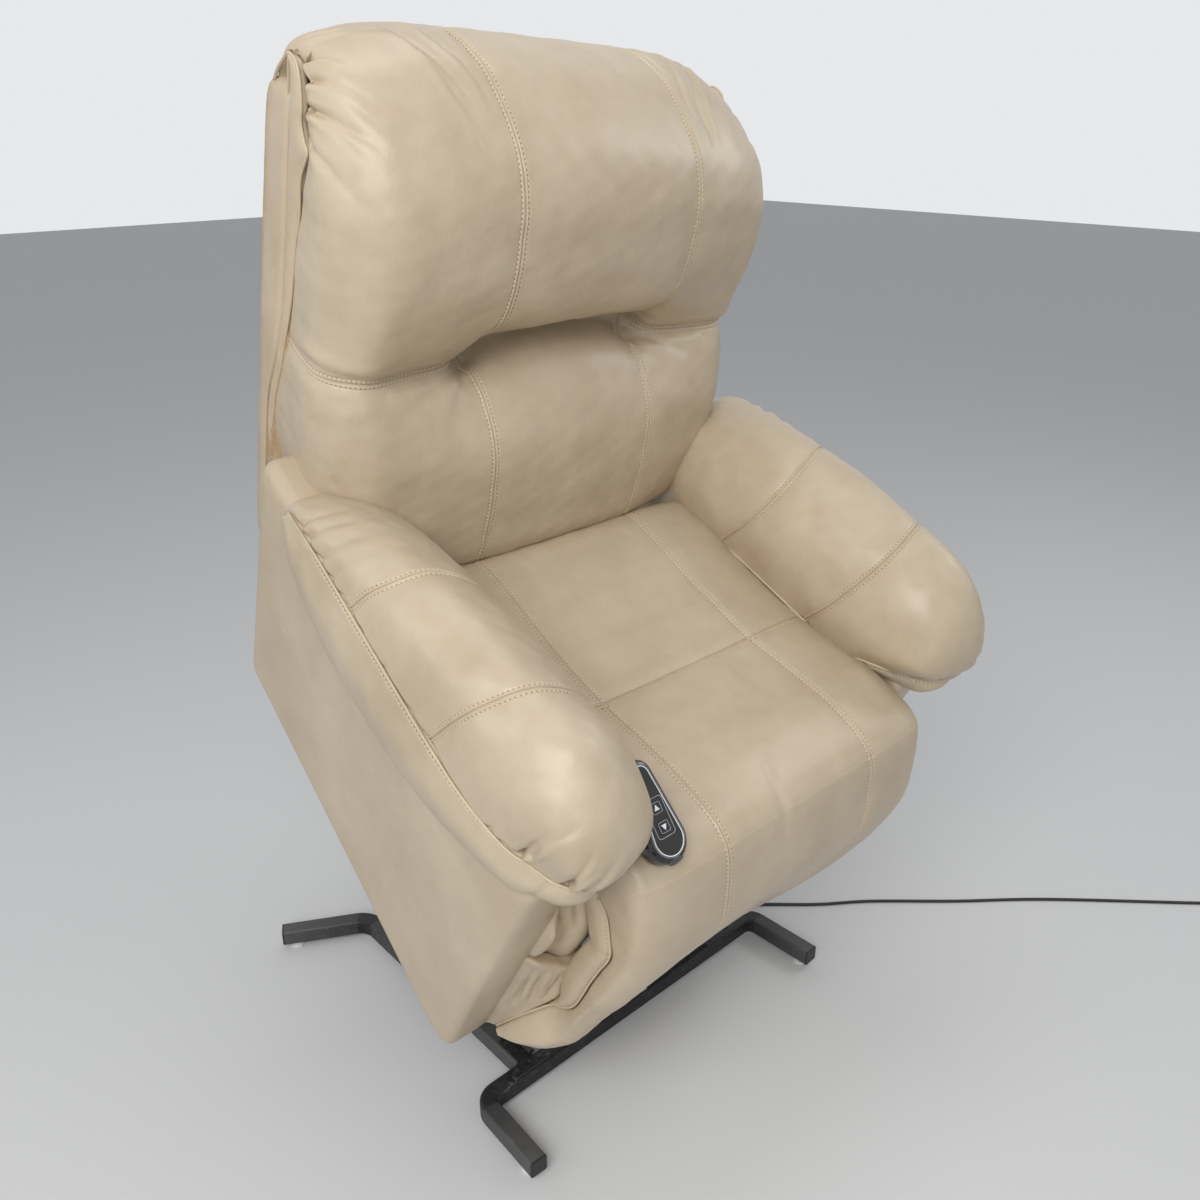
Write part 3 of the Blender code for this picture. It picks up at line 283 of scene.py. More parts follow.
def groove(d, pull, reach=0.022):
    """Relief of a top-stitched seam: groove, two raised edges, two stitch rows, and the leather pulled in."""
    edges = 0.0010 * bell(d - 0.0027, 0.0016)
    return edges - 0.0020 * bell(d, 0.0010) - 0.0009 * bell(d - SEAM_ROW, 0.0012) - pull * bell(d, reach)


def plain_seam(d, depth=0.0035):
    """Relief of a seam without stitching on top: two rounded edges that meet."""
    return -depth * bell(d, 0.0018) - 0.0016 * bell(d, 0.010)


def tucked(skin, rows, columns, depth=0.0034):
    """Relief beside a piping: the leather dives into the seam that holds it."""
    return -depth * bell(skin.off(rows, columns), 0.0034)


def ripple(q, size, phase):
    """Gentle unevenness, about -1 to 1."""
    total = np.zeros(len(q))
    for i in range(6):
        angle = 1.9 * i + phase
        k = 2 * math.pi / (size * (0.7 + 0.23 * i))
        total += np.sin(k * (q[:, 0] * math.cos(angle) + q[:, 1] * math.sin(angle)) + 2.4 * i + phase)
    return total / 3.0


# Where a seam's columns of points lie beside its middle.
SEAM_HALF = np.array([0.0, .0007, .0014, .0021, .0028, .0036, .0044, .0052, .0060, .0070, .0085, .0105])
SEAM_OFFSETS = np.concatenate([-SEAM_HALF[:0:-1], SEAM_HALF])


class Skin:
    """A sheet of leather through a net of points, rows by columns.

    fine_rows and fine_columns are (from, to, step) stretches with a finer mesh; row_guide is the row whose
    length spaces the columns.
    """

    def __init__(self, net, step, seam_columns=(), seam_rows=(), fine_rows=(), fine_columns=(),
                 row_guide=None):
        net = np.asarray(net, float)
        middle = len(net) // 2 if row_guide is None else row_guide
        column_guide = np.argmax([lengths(net[:, c])[-1] for c in range(net.shape[1])])
        self.net = net
        self.t_row = self.knots(net[:, column_guide], step, seam_rows, fine_rows)
        self.t_column = self.knots(net[middle], step, seam_columns, fine_columns)
        self.flat = self.surface(self.t_row, self.t_column)
        self.points = self.flat.copy()
        self.flat_normals = self.normals().reshape(-1, 3)
        self.q = self.flat.reshape(-1, 3)

    @staticmethod
    def knots(line, step, seams, fine):
        t = even(line, step)
        for low, high, fine_step in fine:
            count = int(lengths(spline(line, np.linspace(low, high, 60)))[-1] / fine_step)
            t = np.concatenate([t[(t < low) | (t > high)], np.linspace(low, high, count)])
        for at in seams:
            ends = spline(line, np.array([at - 0.01, at + 0.01]))
            rate = np.linalg.norm(ends[1] - ends[0]) / 0.02
            special = at + SEAM_OFFSETS / rate
            free = 0.0008 / rate
            t = np.concatenate([t[(t < special[0] - free) | (t > special[-1] + free)], special])
        t = np.unique(np.round(t, 6))
        return t[(t >= 0) & (t <= len(line) - 1)]

    def surface(self, rows, columns):
        across = spline(self.net, rows)
        return np.swapaxes(spline(np.swapaxes(across, 0, 1), columns), 0, 1)

    def normals(self):
        return unit(np.cross(np.gradient(self.points, axis=0), np.gradient(self.points, axis=1)))

    def push(self, height):
        """Moves the skin out along its normals."""
        self.points = self.points + self.normals() * np.asarray(height).reshape(*self.flat.shape[:2], 1)

    def distance(self, path, reach=0.09):
        """Distance of every point from a path, its signed distance and the share along it."""
        path = np.asarray(path, float)
        close = np.all((self.q > path.min(0) - reach) & (self.q < path.max(0) + reach), axis=1)
        out = np.stack([np.full(len(self.q), 9.0), np.full(len(self.q), 9.0), np.ones(len(self.q))])
        out[:, close] = near(self.q[close], path, self.flat_normals[close])
        return out

    def off(self, rows, columns):
        """Distance of every point from a line on the skin."""
        return self.distance(self.at(rows, columns))[0]

    def on_skin(self, path):
        """A path brought onto the skin."""
        path = smooth_line(path, 0.008)
        close = self.q[np.all((self.q > path.min(0) - 0.03) & (self.q < path.max(0) + 0.03), axis=1)]
        return np.array([close[np.argmin(((close - p) ** 2).sum(1))] * 0.5 + p * 0.5 for p in path])

    def fold(self, path, width, depth, lip, rooted, spread=1.5):
        """A pleat: a furrow along the path with a rounded lip on its left.

        A negative lip is on the right. A rooted pleat starts deep and sharp and fades out; any other fades at
        both ends.
        """
        _, signed, share = self.distance(self.on_skin(path), width * 10)
        signed = signed * (1 if lip >= 0 else -1)
        if rooted:
            fade = 0.6 * (1 - share) ** 0.9 + 0.4 * (1 - share) ** 4
            wide = width * (1 + spread * share)
        else:
            fade = np.sin(np.pi * share) ** 0.8
            wide = width
        furrow = -np.exp(-np.abs(signed / wide) ** np.where(signed < 0, 1.3, 2.4))
        ridge = abs(lip) * 0.55 * bell(signed - 2.1 * wide, 1.4 * wide)
        if rooted:
            ridge = ridge * np.clip(share * 5 + 0.15, 0, 1)
        return depth * fade * np.where(share >= 1, 0.0, 1.0) * (furrow + ridge)

    def at(self, rows, columns, grid=None):
        """Points of the skin, or of another grid of its size, at knot numbers; either may be one number."""
        grid = self.points if grid is None else grid
        i, j = np.broadcast_arrays(np.interp(rows, self.t_row, np.arange(len(self.t_row))),
                                   np.interp(columns, self.t_column, np.arange(len(self.t_column))))
        i0 = np.clip(i.astype(int), 0, len(self.t_row) - 2)
        j0 = np.clip(j.astype(int), 0, len(self.t_column) - 2)
        a, b = (i - i0)[:, None], (j - j0)[:, None]
        return ((1 - a) * (1 - b) * grid[i0, j0] + a * (1 - b) * grid[i0 + 1, j0]
                + (1 - a) * b * grid[i0, j0 + 1] + a * b * grid[i0 + 1, j0 + 1])

    def stitch_rows(self, rows, columns, offsets=(-SEAM_ROW, SEAM_ROW)):
        """Points and normals of the stitch rows beside a seam."""
        normals = self.normals()
        found = []
        for offset in offsets:
            places = self.beside(rows, columns, offset)
            points = self.at(*places)
            keep = np.concatenate([[True], np.linalg.norm(np.diff(points, axis=0), axis=1) > 1e-6])
            found.append((points[keep], self.at(*places, normals)[keep]))
        return found

    def beside(self, rows, columns, offset):
        """Knot numbers of a path that runs beside another at a distance."""
        h = 0.004
        by_row = (self.at(rows + h, columns) - self.at(rows - h, columns)) / (2 * h)
        by_column = (self.at(rows, columns + h) - self.at(rows, columns - h)) / (2 * h)
        tangent = unit(np.gradient(self.at(rows, columns), axis=0))
        side = np.cross(unit(np.cross(by_row, by_column)), tangent) * offset
        rr, cc, rc = (by_row ** 2).sum(1), (by_column ** 2).sum(1), (by_row * by_column).sum(1)
        r, c = (by_row * side).sum(1), (by_column * side).sum(1)
        det = np.maximum(rr * cc - rc ** 2, NEVER)
        return rows + (r * cc - c * rc) / det, columns + (c * rr - r * rc) / det


def make(name, verts, faces, finish):
    """A mesh object from arrays: faces is a list of index arrays, each of one face size."""
    mesh = bpy.data.meshes.new(name)
    verts = np.asarray(verts, np.float32).reshape(-1, 3)
    faces = [np.asarray(f, np.int32) for f in faces if len(f)]
    loops = np.concatenate([f.ravel() for f in faces])
    sizes = np.concatenate([np.full(len(f), f.shape[1], np.int32) for f in faces])
    mesh.vertices.add(len(verts))
    mesh.vertices.foreach_set("co", verts.ravel())
    mesh.loops.add(len(loops))
    mesh.loops.foreach_set("vertex_index", loops)
    mesh.polygons.add(len(sizes))
    mesh.polygons.foreach_set("loop_start", np.concatenate([[0], np.cumsum(sizes)[:-1]]).astype(np.int32))
    mesh.polygons.foreach_set("loop_total", sizes)
    mesh.update(calc_edges=True)
    mesh.validate()
    mesh.shade_smooth()
    mesh.materials.append(finish)
    made = bpy.data.objects.new(name, mesh)
    bpy.context.scene.collection.objects.link(made)
    return made


def grid_faces(rows, columns, wrap=False):
    """Quads of a grid of points; a wrapped one also joins its last column to its first."""
    i, j = np.meshgrid(np.arange(rows - 1), np.arange(columns if wrap else columns - 1), indexing="ij")
    here, beside = i * columns + j, i * columns + (j + 1) % columns
    return np.stack([here, here + columns, beside + columns, beside], -1).reshape(-1, 4)


def unless_quick(full):
    """A setting of the full mesh."""
    return full


def closed_skin(name, points, place, normals=None, lining=None):
    """A skin made one closed body, by a hidden fan or by a lining that bends with the skin.

    The lining is given as its thickness and the normals of the skin.
    """
    rows, columns = points.shape[:2]
    count = rows * columns
    index = np.arange(count).reshape(rows, columns)
    rim = np.concatenate([index[0], index[1:, -1], index[-1, -2::-1], index[-2:0:-1, 0]])
    after = np.roll(rim, -1)
    faces = grid_faces(rows, columns)
    outside = points.reshape(-1, 3)
    if lining:
        thick, outward = lining
        outward = outward.reshape(-1, 3)
        verts = np.concatenate([outside, outside - thick * outward])
        hidden = [faces[:, ::-1] + count, np.stack([rim, after, after + count, rim + count], -1)]
    else:
        outward = np.array([[0, 0, -1.0]])
        verts = np.concatenate([outside, outside[rim].mean(0)[None]])
        hidden = [np.stack([rim, after, np.full(len(rim), count)], -1)]
    made = make(name, place(verts), [faces, *hidden], LEATHER)
    if not lining:
        smooth = np.arange(len(made.data.polygons)) < len(faces)
        made.data.polygons.foreach_set("use_smooth", smooth)
    if normals is not None:
        turned = place(np.concatenate([normals.reshape(-1, 3), -outward])) - place(np.zeros((1, 3)))
        made.data.normals_split_custom_set_from_vertices(turned.tolist())
    return made


def tube(points, radius, sides=10):
    """Vertices and faces of a round tube with closed ends."""
    points = np.asarray(points, float)
    tangent = unit(np.gradient(points, axis=0))
    normal = np.zeros_like(points)
    guide = np.array((0.0, 0.0, 1.0)) if abs(tangent[0][2]) < 0.9 else np.array((1.0, 0.0, 0.0))
    for i, t in enumerate(tangent):
        guide = guide - t * (guide @ t)
        guide /= np.linalg.norm(guide)
        normal[i] = guide
    other = np.cross(tangent, normal)
    a = np.arange(sides)[:, None] * 2 * math.pi / sides
    rings = points[:, None] + radius * (np.cos(a) * normal[:, None] + np.sin(a) * other[:, None])
    ends = (np.arange(sides)[::-1][None], (len(points) - 1) * sides + np.arange(sides)[None])
    return rings.reshape(-1, 3), grid_faces(len(points), sides, wrap=True)[:, ::-1], ends


def welt(name, points, place):
    """Piping sewn into an edge."""
    verts, quads, ends = tube(smooth_line(points), PIPING_RADIUS)
    return make(name, place(verts), [quads, *ends], PIPING)


def stitches(name, rows, place):
    """Thread seen on the surface: along rows of points and normals, a bead for each stitch and a sunk bead
    for each hole, which the thread's finish darkens with painted shade.
    """
    sides = 6
    bead = np.array([(-1.0, 0.15), (-0.72, 0.8), (0.0, 1.0), (0.72, 0.8), (1.0, 0.15)])
    angle = np.arange(sides)[:, None] * 2 * math.pi / sides
    x, r = bead[:, 0][:, None, None], bead[:, 1][:, None, None]
    gap = STITCH_STEP - STITCH_LENGTH
    beads, hole_shades = [], []
    for points, normals in rows:
        along = lengths(points)
        spots = np.arange(STITCH_STEP, along[-1] - STITCH_STEP / 2, STITCH_STEP)
        lines = (points, normals, np.gradient(points, axis=0))
        here, up, ahead = (np.stack([np.interp(spots, along, line[:, k]) for k in range(3)], -1)
                           for line in lines)
        here, ahead, up = here[:, None, None], unit(ahead)[:, None, None], unit(up)[:, None, None]
        across = np.cross(up, ahead)
        # The second bead of each step sits in the hole; its flag of 1 paints it with painted shade.
        for offset, long, wide, dark in ((0, STITCH_LENGTH, STITCH_RADIUS, 0.0),
                                         (STITCH_STEP / 2, gap, STITCH_RADIUS * 0.9, 1.0)):
            lift = (r * np.sin(angle) + 0.25 - 0.45 * dark) * wide
            spread = r * np.cos(angle) * wide
            bodies = here + ahead * (x * long / 2 + offset) + up * lift + across * spread
            beads.append(bodies.reshape(-1, 3))
            hole_shades.append(np.full(len(beads[-1]), dark, np.float32))
    verts = np.concatenate(beads)
    size = sides * len(bead)
    base = np.arange(len(verts) // size)[:, None, None] * size
    quads = (grid_faces(len(bead), sides, wrap=True)[None] + base).reshape(-1, 4)
    first = (np.arange(sides) + base).reshape(-1, sides)
    last = (np.arange(sides)[::-1] + size - sides + base).reshape(-1, sides)
    made = make(name, place(verts), [quads[:, ::-1], first[:, ::-1], last[:, ::-1]], THREAD)
    made.data.attributes.new("stitch_hole_shade", "FLOAT", "POINT").data.foreach_set("value", np.concatenate(hole_shades))
    return made


# ---------------------------------------------------------------- room, lights and camera

def soft_world():
    """Even light from all sides; the eye and mirrors see it paler than it shines."""
    world = bpy.data.worlds.new("studio")
    bpy.context.scene.world = world
    world.use_nodes = True
    nodes = world.node_tree.nodes
    seen = nodes.new("ShaderNodeLightPath")
    either = nodes.new("ShaderNodeMath")
    either.operation = "MAXIMUM"
    soft, pale = nodes["Background"], nodes.new("ShaderNodeBackground")
    both = nodes.new("ShaderNodeMixShader")
    for light, colour, strength in ((soft, (0.92, 0.95, 1.0), 0.40), (pale, (0.80, 0.81, 0.82), 1.0)):
        light.inputs["Color"].default_value = (*colour, 1.0)
        light.inputs["Strength"].default_value = strength
    for output, socket in ((seen.outputs["Is Camera Ray"], either.inputs[0]),
                           (seen.outputs["Is Glossy Ray"], either.inputs[1]),
                           (either.outputs[0], both.inputs[0]), (soft.outputs[0], both.inputs[1]),
                           (pale.outputs[0], both.inputs[2]),
                           (both.outputs[0], nodes["World Output"].inputs["Surface"])):
        world.node_tree.links.new(output, socket)


def pale_floor():
    bpy.ops.mesh.primitive_plane_add(size=30.0)
    floor = bpy.context.object
    floor.name = "floor"
    paint = Finish("pale_floor")
    floor.data.materials.append(paint.set(Base_Color=(0.68, 0.68, 0.675), Roughness=0.85))


def lamp(name, spot, size, power):
    """A rectangular lamp that points at the middle of the chair."""
    data = bpy.data.lights.new(name, "AREA")
    data.shape = "RECTANGLE"
    data.size, data.size_y = size
    data.energy = power
    made = bpy.data.objects.new(name, data)
    made.location = spot
    made.rotation_euler = (Vector((0.0, 0.0, 0.8)) - Vector(spot)).to_track_quat("-Z", "Y").to_euler()
    bpy.context.scene.collection.objects.link(made)


def camera():
    data = bpy.data.cameras.new("camera")
    data.sensor_width = 36.0
    data.lens = 32.48
    made = bpy.data.objects.new("camera", data)
    made.location = (-1.0267, -1.1619, 1.4758)
    yaw, pitch = math.radians(-42.43), math.radians(24.37)
    ahead = Vector((-math.sin(yaw) * math.cos(pitch), math.cos(yaw) * math.cos(pitch), -math.sin(pitch)))
    made.rotation_euler = ahead.to_track_quat("-Z", "Y").to_euler()
    bpy.context.scene.collection.objects.link(made)
    bpy.context.scene.camera = made


def room():
    bpy.context.scene.view_settings.view_transform = "Standard"
    soft_world()
    pale_floor()
    lamp("key", (-2.3, -1.7, 2.7), (2.2, 1.7), 74)
    lamp("side", (-3.0, 0.6, 2.0), (1.4, 1.4), 8)
    lamp("right", (2.6, -1.2, 2.8), (1.2, 1.2), 16)
    lamp("top", (0.0, 0.2, 3.8), (1.8, 1.4), 16)
    camera()


# ---------------------------------------------------------------- mains lead

CORD_RADIUS = 0.003
CORD_GAP = 0.0003        # from the face of the gland to the cord's first point
CORD_EXIT = 0.016        # height at which the cord leaves the gland
CORD_LIE = 0.0031        # height of the cord's middle where it lies on the floor
CORD_ROUTE = [
    (0.200, 0.226, 0.0035), (0.262, 0.120, CORD_LIE), (0.322, 0.010, CORD_LIE),
    (0.368, -0.062, CORD_LIE), (0.420, -0.112, CORD_LIE), (0.486, -0.172, CORD_LIE),
    (0.570, -0.236, CORD_LIE), (0.697, -0.352, CORD_LIE), (0.840, -0.475, CORD_LIE),
    (1.056, -0.688, CORD_LIE), (1.150, -0.775, CORD_LIE),
]
COIL_TURNS = 3           # inwards in the lower layer, and as many outwards in the upper one
COIL_PITCH = 0.0062
COIL_TRACK = 0.034 + COIL_TURNS * COIL_PITCH / 2
COIL_LAYER = 0.0064      # from the lower layer up to the upper one
COIL_CLIMB = 0.44        # part of a turn in which the cord climbs
COIL_ENTRY = 0.0243
COIL_TAIL = 0.028


def black_rubber():
    f = Finish("cord_rubber")
    dust = f.noise(60.0, 4.0, 0.6).between(0.45, 0.75)
    return f.set(Base_Color=f.mix(dust * 0.12, (0.010, 0.010, 0.011), (0.09, 0.085, 0.075)),
                 Roughness=dust * 0.15 + 0.5, Normal=f.bump(f.noise(900.0, 2.0), 0.00006, 0.6))


def lead_path(exit_point):
    """From the power supply over the floor, into a flat coil and out of it to the plug."""
    knots = np.concatenate([[exit_point, exit_point + (0.012, 0, 0), exit_point + (0.034, -0.010, -0.010)],
                            CORD_ROUTE])
    route = spline(knots, np.linspace(0, len(knots) - 1, 6 * (len(knots) - 1) + 1))
    start = knots[-1]
    ahead = unit(start - knots[-2])
    side = np.array((-ahead[1], ahead[0], 0.0))
    entry = [start + ahead * COIL_ENTRY * s for s in (0.35, 0.7)]
    centre = (start + ahead * COIL_ENTRY + side * COIL_TRACK) * (1, 1, 0)
    turns = np.linspace(0, 2 * COIL_TURNS, 2 * COIL_TURNS * 28 + 1)[:, None]
    radius = COIL_TRACK - COIL_PITCH * (COIL_TURNS - np.abs(turns - COIL_TURNS))
    rise = np.clip((turns - COIL_TURNS + COIL_CLIMB / 2) / COIL_CLIMB, 0, 1)
    height = CORD_LIE + COIL_LAYER * rise * rise * (3 - 2 * rise)
    angle = 2 * math.pi * turns
    coil = centre + (ahead * np.sin(angle) - side * np.cos(angle)) * radius + np.array((0, 0, 1)) * height
    tail = [coil[-1] + ahead * COIL_TAIL * s for s in (0.5, 1.0)]
    return np.concatenate([route, entry, coil, tail])


def mains_lead(finish):
    low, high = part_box("mains_gland")
    exit_point = np.array((high.x + CORD_GAP, (low.y + high.y) / 2, CORD_EXIT))
    path = lead_path(exit_point)
    verts, quads, ends = tube(path, CORD_RADIUS, 12)
    cord = make("mains_lead", verts, [quads, *ends], finish)
    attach(cord, "floor_frame")
    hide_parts("mains_cord", "mains_coil")


# ---------------------------------------------------------------- back

# Back cushion, (up, forward) of each row from the rear tuck over the top and down to the seat,
# for x = 0, 0.155, 0.265 and 0.335; then (x, up, forward) near its side and of the piping.
BACK_ROWS = [
    (.650, .002, .650, .002, .650, .002, .648, .003, (.352, .646, .001), (.340, .648, .014)),
    (.684, -.010, .684, -.010, .682, -.008, .676, .000, (.3555, .6645, .010), (.343, .664, .022)),
    (.712, .012, .712, .012, .706, .012, .6955, .022, (.3560, .687, .027), (.350, .680, .034)),
    (.7208, .0565, .7208, .0565, .714, .0565, .695, .060, (.3550, .688, .056), (.3560, .6885, .0445)),
    (.712, .112, .712, .110, .705, .108, .686, .108, (.3605, .668, .088), (.3575, .6745, .0680)),
    (.6937, .158, .6937, .1529, .686, .146, .665, .140, (.3650, .638, .112), (.3580, .636, .0760)),
    (.6416, .224, .6416, .2179, .634, .208, .620, .185, (.371, .600, .135), (.3600, .598, .0920)),
    (.5854, .256, .5854, .2501, .580, .240, .572, .213, (.375, .560, .150), (.361, .560, .085)),
    (.530, .2645, .530, .2585, .525, .249, .520, .226, (.376, .515, .155), (.360, .515, .076)),
    (.478, .2637, .478, .2577, .470, .247, .465, .228, (.376, .465, .155), (.360, .473, .0695)),
    (.430, .2480, .428, .2440, .405, .228, .402, .216, (.374, .402, .150), (.360, .408, .065)),
    (.398, .208, .390, .205, .368, .209, .366, .210, (.376, .366, .154), (.360, .366, .058)),
    (.374, .150, .353, .153, .344, .195, .346, .201, (.375, .344, .151), (.360, .343, .053)),
    (.350, .192, .331, .195, .326, .210, .328, .208, (.376, .326, .154), (.360, .325, .049)),
    (.312, .232, .301, .232, .298, .229, .296, .222, (.378, .294, .164), (.360, .300, .045)),
    (.2473, .2706, .2473, .2676, .243, .255, .240, .238, (.378, .238, .168), (.360, .240, .030)),
    (.1745, .2833, .1745, .2793, .172, .262, .170, .238, (.370, .170, .160), (.357, .182, .0245)),
    (.120, .283, .120, .279, .118, .262, .118, .235, (.364, .120, .155), (.350, .144, .034)),
    (.0783, .281, .0783, .2773, .076, .256, .075, .225, (.355, .082, .145), (.340, .110, .045)),
    (.050, .262, .050, .262, .048, .240, .050, .200, (.340, .062, .125), (.330, .085, .055)),
    (.030, .200, .030, .200, .030, .190, .040, .150, (.330, .055, .100), (.325, .070, .060)),
    (.035, .100, .035, .100, .035, .100, .045, .090, (.330, .055, .080), (.320, .065, .065)),
]


def back_net():
    """The cushion's net; its upper part leans over to the left."""
    rows = []
    for i, r in enumerate(BACK_ROWS):
        inner, outer = np.array((r[2], r[3])), np.array((r[4], r[5]))
        beside = inner + (outer - inner) * (0.72 if 10 <= i <= 14 else 0.30)
        seam_x = np.interp(r[2], (.30, .42), (.151, .157))
        rows.append([(0, r[0], r[1]), (.085, *(np.array(r[0:2]) * .7 + inner * .3)), (seam_x, *inner),
                     (.190, *beside), (.265, *outer), (.335, r[6], r[7]), r[8], r[9]])
    net = mirrored(rows)
    lean = np.interp(np.arange(len(net)), (0, 1, 2, 5, 7, 8), (0, .4, 1, 1, .3, 0))[:, None]
    side = np.clip((0.372 + net[..., 0]) / 0.05, 0, 1)
    net[..., 1] -= 0.045 * np.clip(net[..., 0], -0.30, 0.36) * lean * side
    return net


def slump(points):
    """The back's left upper corner hangs lower than the right one."""
    points = np.array(points, float)
    x, up = points[..., 0], points[..., 1]
    points[..., 1] -= 0.028 * np.clip((x - .24) / .11, 0, 1) * np.clip((up - .60) / .085, 0, 1)
    return points


BACK_NET = slump(back_net())
BACK_COLUMNS = 14        # last column of the back's net
# For each side: the column of its long seam, and the columns between which its short seam runs outwards.
BACK_SEAMS = {-1: (5, 4.75, 0), 1: (9, 9.25, BACK_COLUMNS)}
# The piping from the rear tuck over the upper corner and down the side.
CORNER_PIPING = [(.3560, .650, .000), (.3590, .6635, .011), (.3600, .676, .023), (.3610, .6885, .037),
                 (.3620, .6905, .0445), (.3625, .6862, .0585), (.3625, .6755, .0660), (.3625, .6655, .0700),
                 (.3625, .6416, .0746), (.3620, .625, .0745), (.3620, .607, .0836), (.3620, .5982, .0913),
                 (.3615, .5867, .0873), (.361, .5602, .0770)]
# The strip of leather behind the upper part of the piping.
CORNER_STRIP = [(.3620, .6895, .0425), (.3625, .678, .0460), (.3625, .668, .0480), (.3625, .656, .0480),
                (.3625, .640, .0480), (.3625, .625, .0475), (.3625, .607, .0475), (.3625, .596, .0475),
                (.3625, .585, .0475), (.362, .560, .0475)]
# Pleats of the back at its upper corner: path of (x, up, forward), width, depth, lip.
BACK_PLEATS = [
    ([(.361, .688, .052), (.357, .6885, .060), (.349, .690, .066), (.336, .690, .078), (.326, .692, .096),
      (.312, .691, .120)], .0036, .0140, .5),
    ([(.363, .668, .070), (.357, .672, .080), (.347, .675, .100), (.330, .674, .128), (.315, .664, .151),
      (.305, .656, .165)], .0034, .0150, .45),
    ([(.351, .670, .082), (.347, .670, .097), (.335, .664, .138), (.316, .651, .171), (.280, .637, .198),
      (.258, .622, .212)], .0036, .0032, .5),
    ([(.364, .642, .078), (.363, .645, .092), (.357, .648, .119), (.343, .642, .154), (.333, .638, .169),
      (.318, .628, .187)], .0034, .0150, .45),
    ([(.362, .645, .106), (.357, .639, .134), (.348, .628, .165), (.340, .620, .183), (.325, .608, .200)],
     .0036, .0032, .5),
    ([(.364, .612, .100), (.368, .605, .138), (.361, .593, .166), (.350, .579, .193), (.332, .560, .215)],
     .0048, .0055, .6),
]
# Soft creases of the back: path, width, depth, lip.
BACK_CREASES = [
    ([(.354, .688, .036), (.337, .698, .036), (.312, .708, .038), (.282, .714, .042)], .0045, .0080, .6),
    ([(.275, .716, .030), (.256, .715, .050), (.242, .711, .089), (.225, .702, .127), (.208, .686, .156),
      (.198, .655, .195)], .0042, .0060, .7),
    ([(.232, .719, .025), (.213, .718, .045), (.203, .714, .091), (.190, .704, .127), (.179, .688, .156),
      (.176, .665, .188)], .0040, .0054, .7),
    ([(.190, .720, .015), (.169, .718, .036), (.168, .714, .087), (.166, .700, .125)], .0038, .0036, .6),
    ([(.300, .708, .045), (.254, .712, .074), (.238, .703, .114), (.221, .687, .154), (.208, .664, .186),
      (.202, .630, .215)], .0050, .0062, .7),
    ([(.150, .346, .170), (.200, .331, .200), (.245, .316, .216), (.285, .300, .222), (.318, .292, .214)],
     .009, .0070, .7),
    ([(.158, .335, .178), (.185, .312, .215), (.205, .285, .236), (.222, .250, .250)], .008, .0045, .6),
    ([(.300, .325, .205), (.332, .318, .196), (.352, .316, .180)], .008, .0025, .5),
    ([(.155, .372, .180), (.185, .362, .205), (.225, .368, .212), (.270, .366, .212)], .007, .0040, -.6),
    ([(.366, .352, .100), (.369, .358, .140), (.352, .362, .178), (.318, .366, .204)], .006, .0050, -.6),
    ([(.340, .150, .215), (.300, .112, .240), (.250, .085, .252)], .010, .0022, .5),
    ([(.350, .210, .200), (.325, .185, .228), (.290, .168, .245)], .012, .0020, .5),
]


def back_relief(skin):
    """How far the cushion's leather stands out or in: seams, tucks, pleats, creases and unevenness."""
    relief = 0.0010 * ripple(skin.q[:, :2], 0.11, 0.4) + 0.0004 * ripple(skin.q[:, :2], 0.036, 2.0)
    outer_part = np.clip((np.abs(skin.q[:, 0]) - 0.158) / 0.02, 0, 1)
    for side, (column, start, edge) in BACK_SEAMS.items():
        relief += groove(skin.off(np.linspace(0.5, 20.5, 160), column), 0.0020)
        relief += groove(skin.off(12.0, np.linspace(start, edge, 40)), 0.0030, 0.016) * outer_part
        relief += tucked(skin, np.linspace(3, 20, 200), edge)
        for path, width, depth, lip in BACK_PLEATS:
            relief += skin.fold(slump(other_side(path, side)), width, depth, lip * side, True, 1.2)
        for path, width, depth, lip in BACK_CREASES:
            _, up, forward = path[0]
            from_seam = forward > .14 and up < .5
            relief += skin.fold(slump(other_side(path, side)), width, depth, lip * side, from_seam, 0.8)
        dimple = np.linalg.norm(skin.q - (side * .153, .352, .165), axis=1)
        relief -= 0.010 * bell(dimple, 0.016)
    return relief


def back_cushion():
    shoulder_and_waist = unless_quick(((2.4, 6.3, 0.0020), (11, 13.6, 0.0022)))
    corners = unless_quick(((0.0, 2.6, 0.0019), (BACK_COLUMNS - 2.6, BACK_COLUMNS, 0.0019)))
    skin = Skin(BACK_NET, unless_quick(0.0036), seam_columns=(5, 9), seam_rows=(12,),
                fine_rows=shoulder_and_waist, fine_columns=corners)
    skin.push(back_relief(skin))
    made = closed_skin("back_cushion", skin.points, back_frame)
    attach(made, "back")
    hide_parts("headrest_pillow", "lumbar_pillow")
    rows = []
    for column, start, edge in BACK_SEAMS.values():
        for low, high in ((1.5, 11.4), (12.5, 20.0)):
            rows += skin.stitch_rows(np.linspace(low, high, 200), column)
        rows += skin.stitch_rows(12.0, np.linspace(start, edge, 120))
    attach(stitches("back_stitching", rows, back_frame), "back")
    for side, word in SIDES.items():
        line = np.concatenate([slump(other_side(CORNER_PIPING, side)), BACK_NET[8:20, BACK_SEAMS[side][-1]]])
        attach(welt(f"back_piping_{word}", line, back_frame), "back")


def back_edge(up):
    """How far forward the outside back wraps round the side, at a height."""
    heights = [-0.01, 0.144, 0.182, 0.24, 0.30, 0.345, 0.408, 0.66]
    return np.interp(up, heights, [0.022, 0.022, 0.014, 0.020, 0.034, 0.042, 0.047, 0.048])


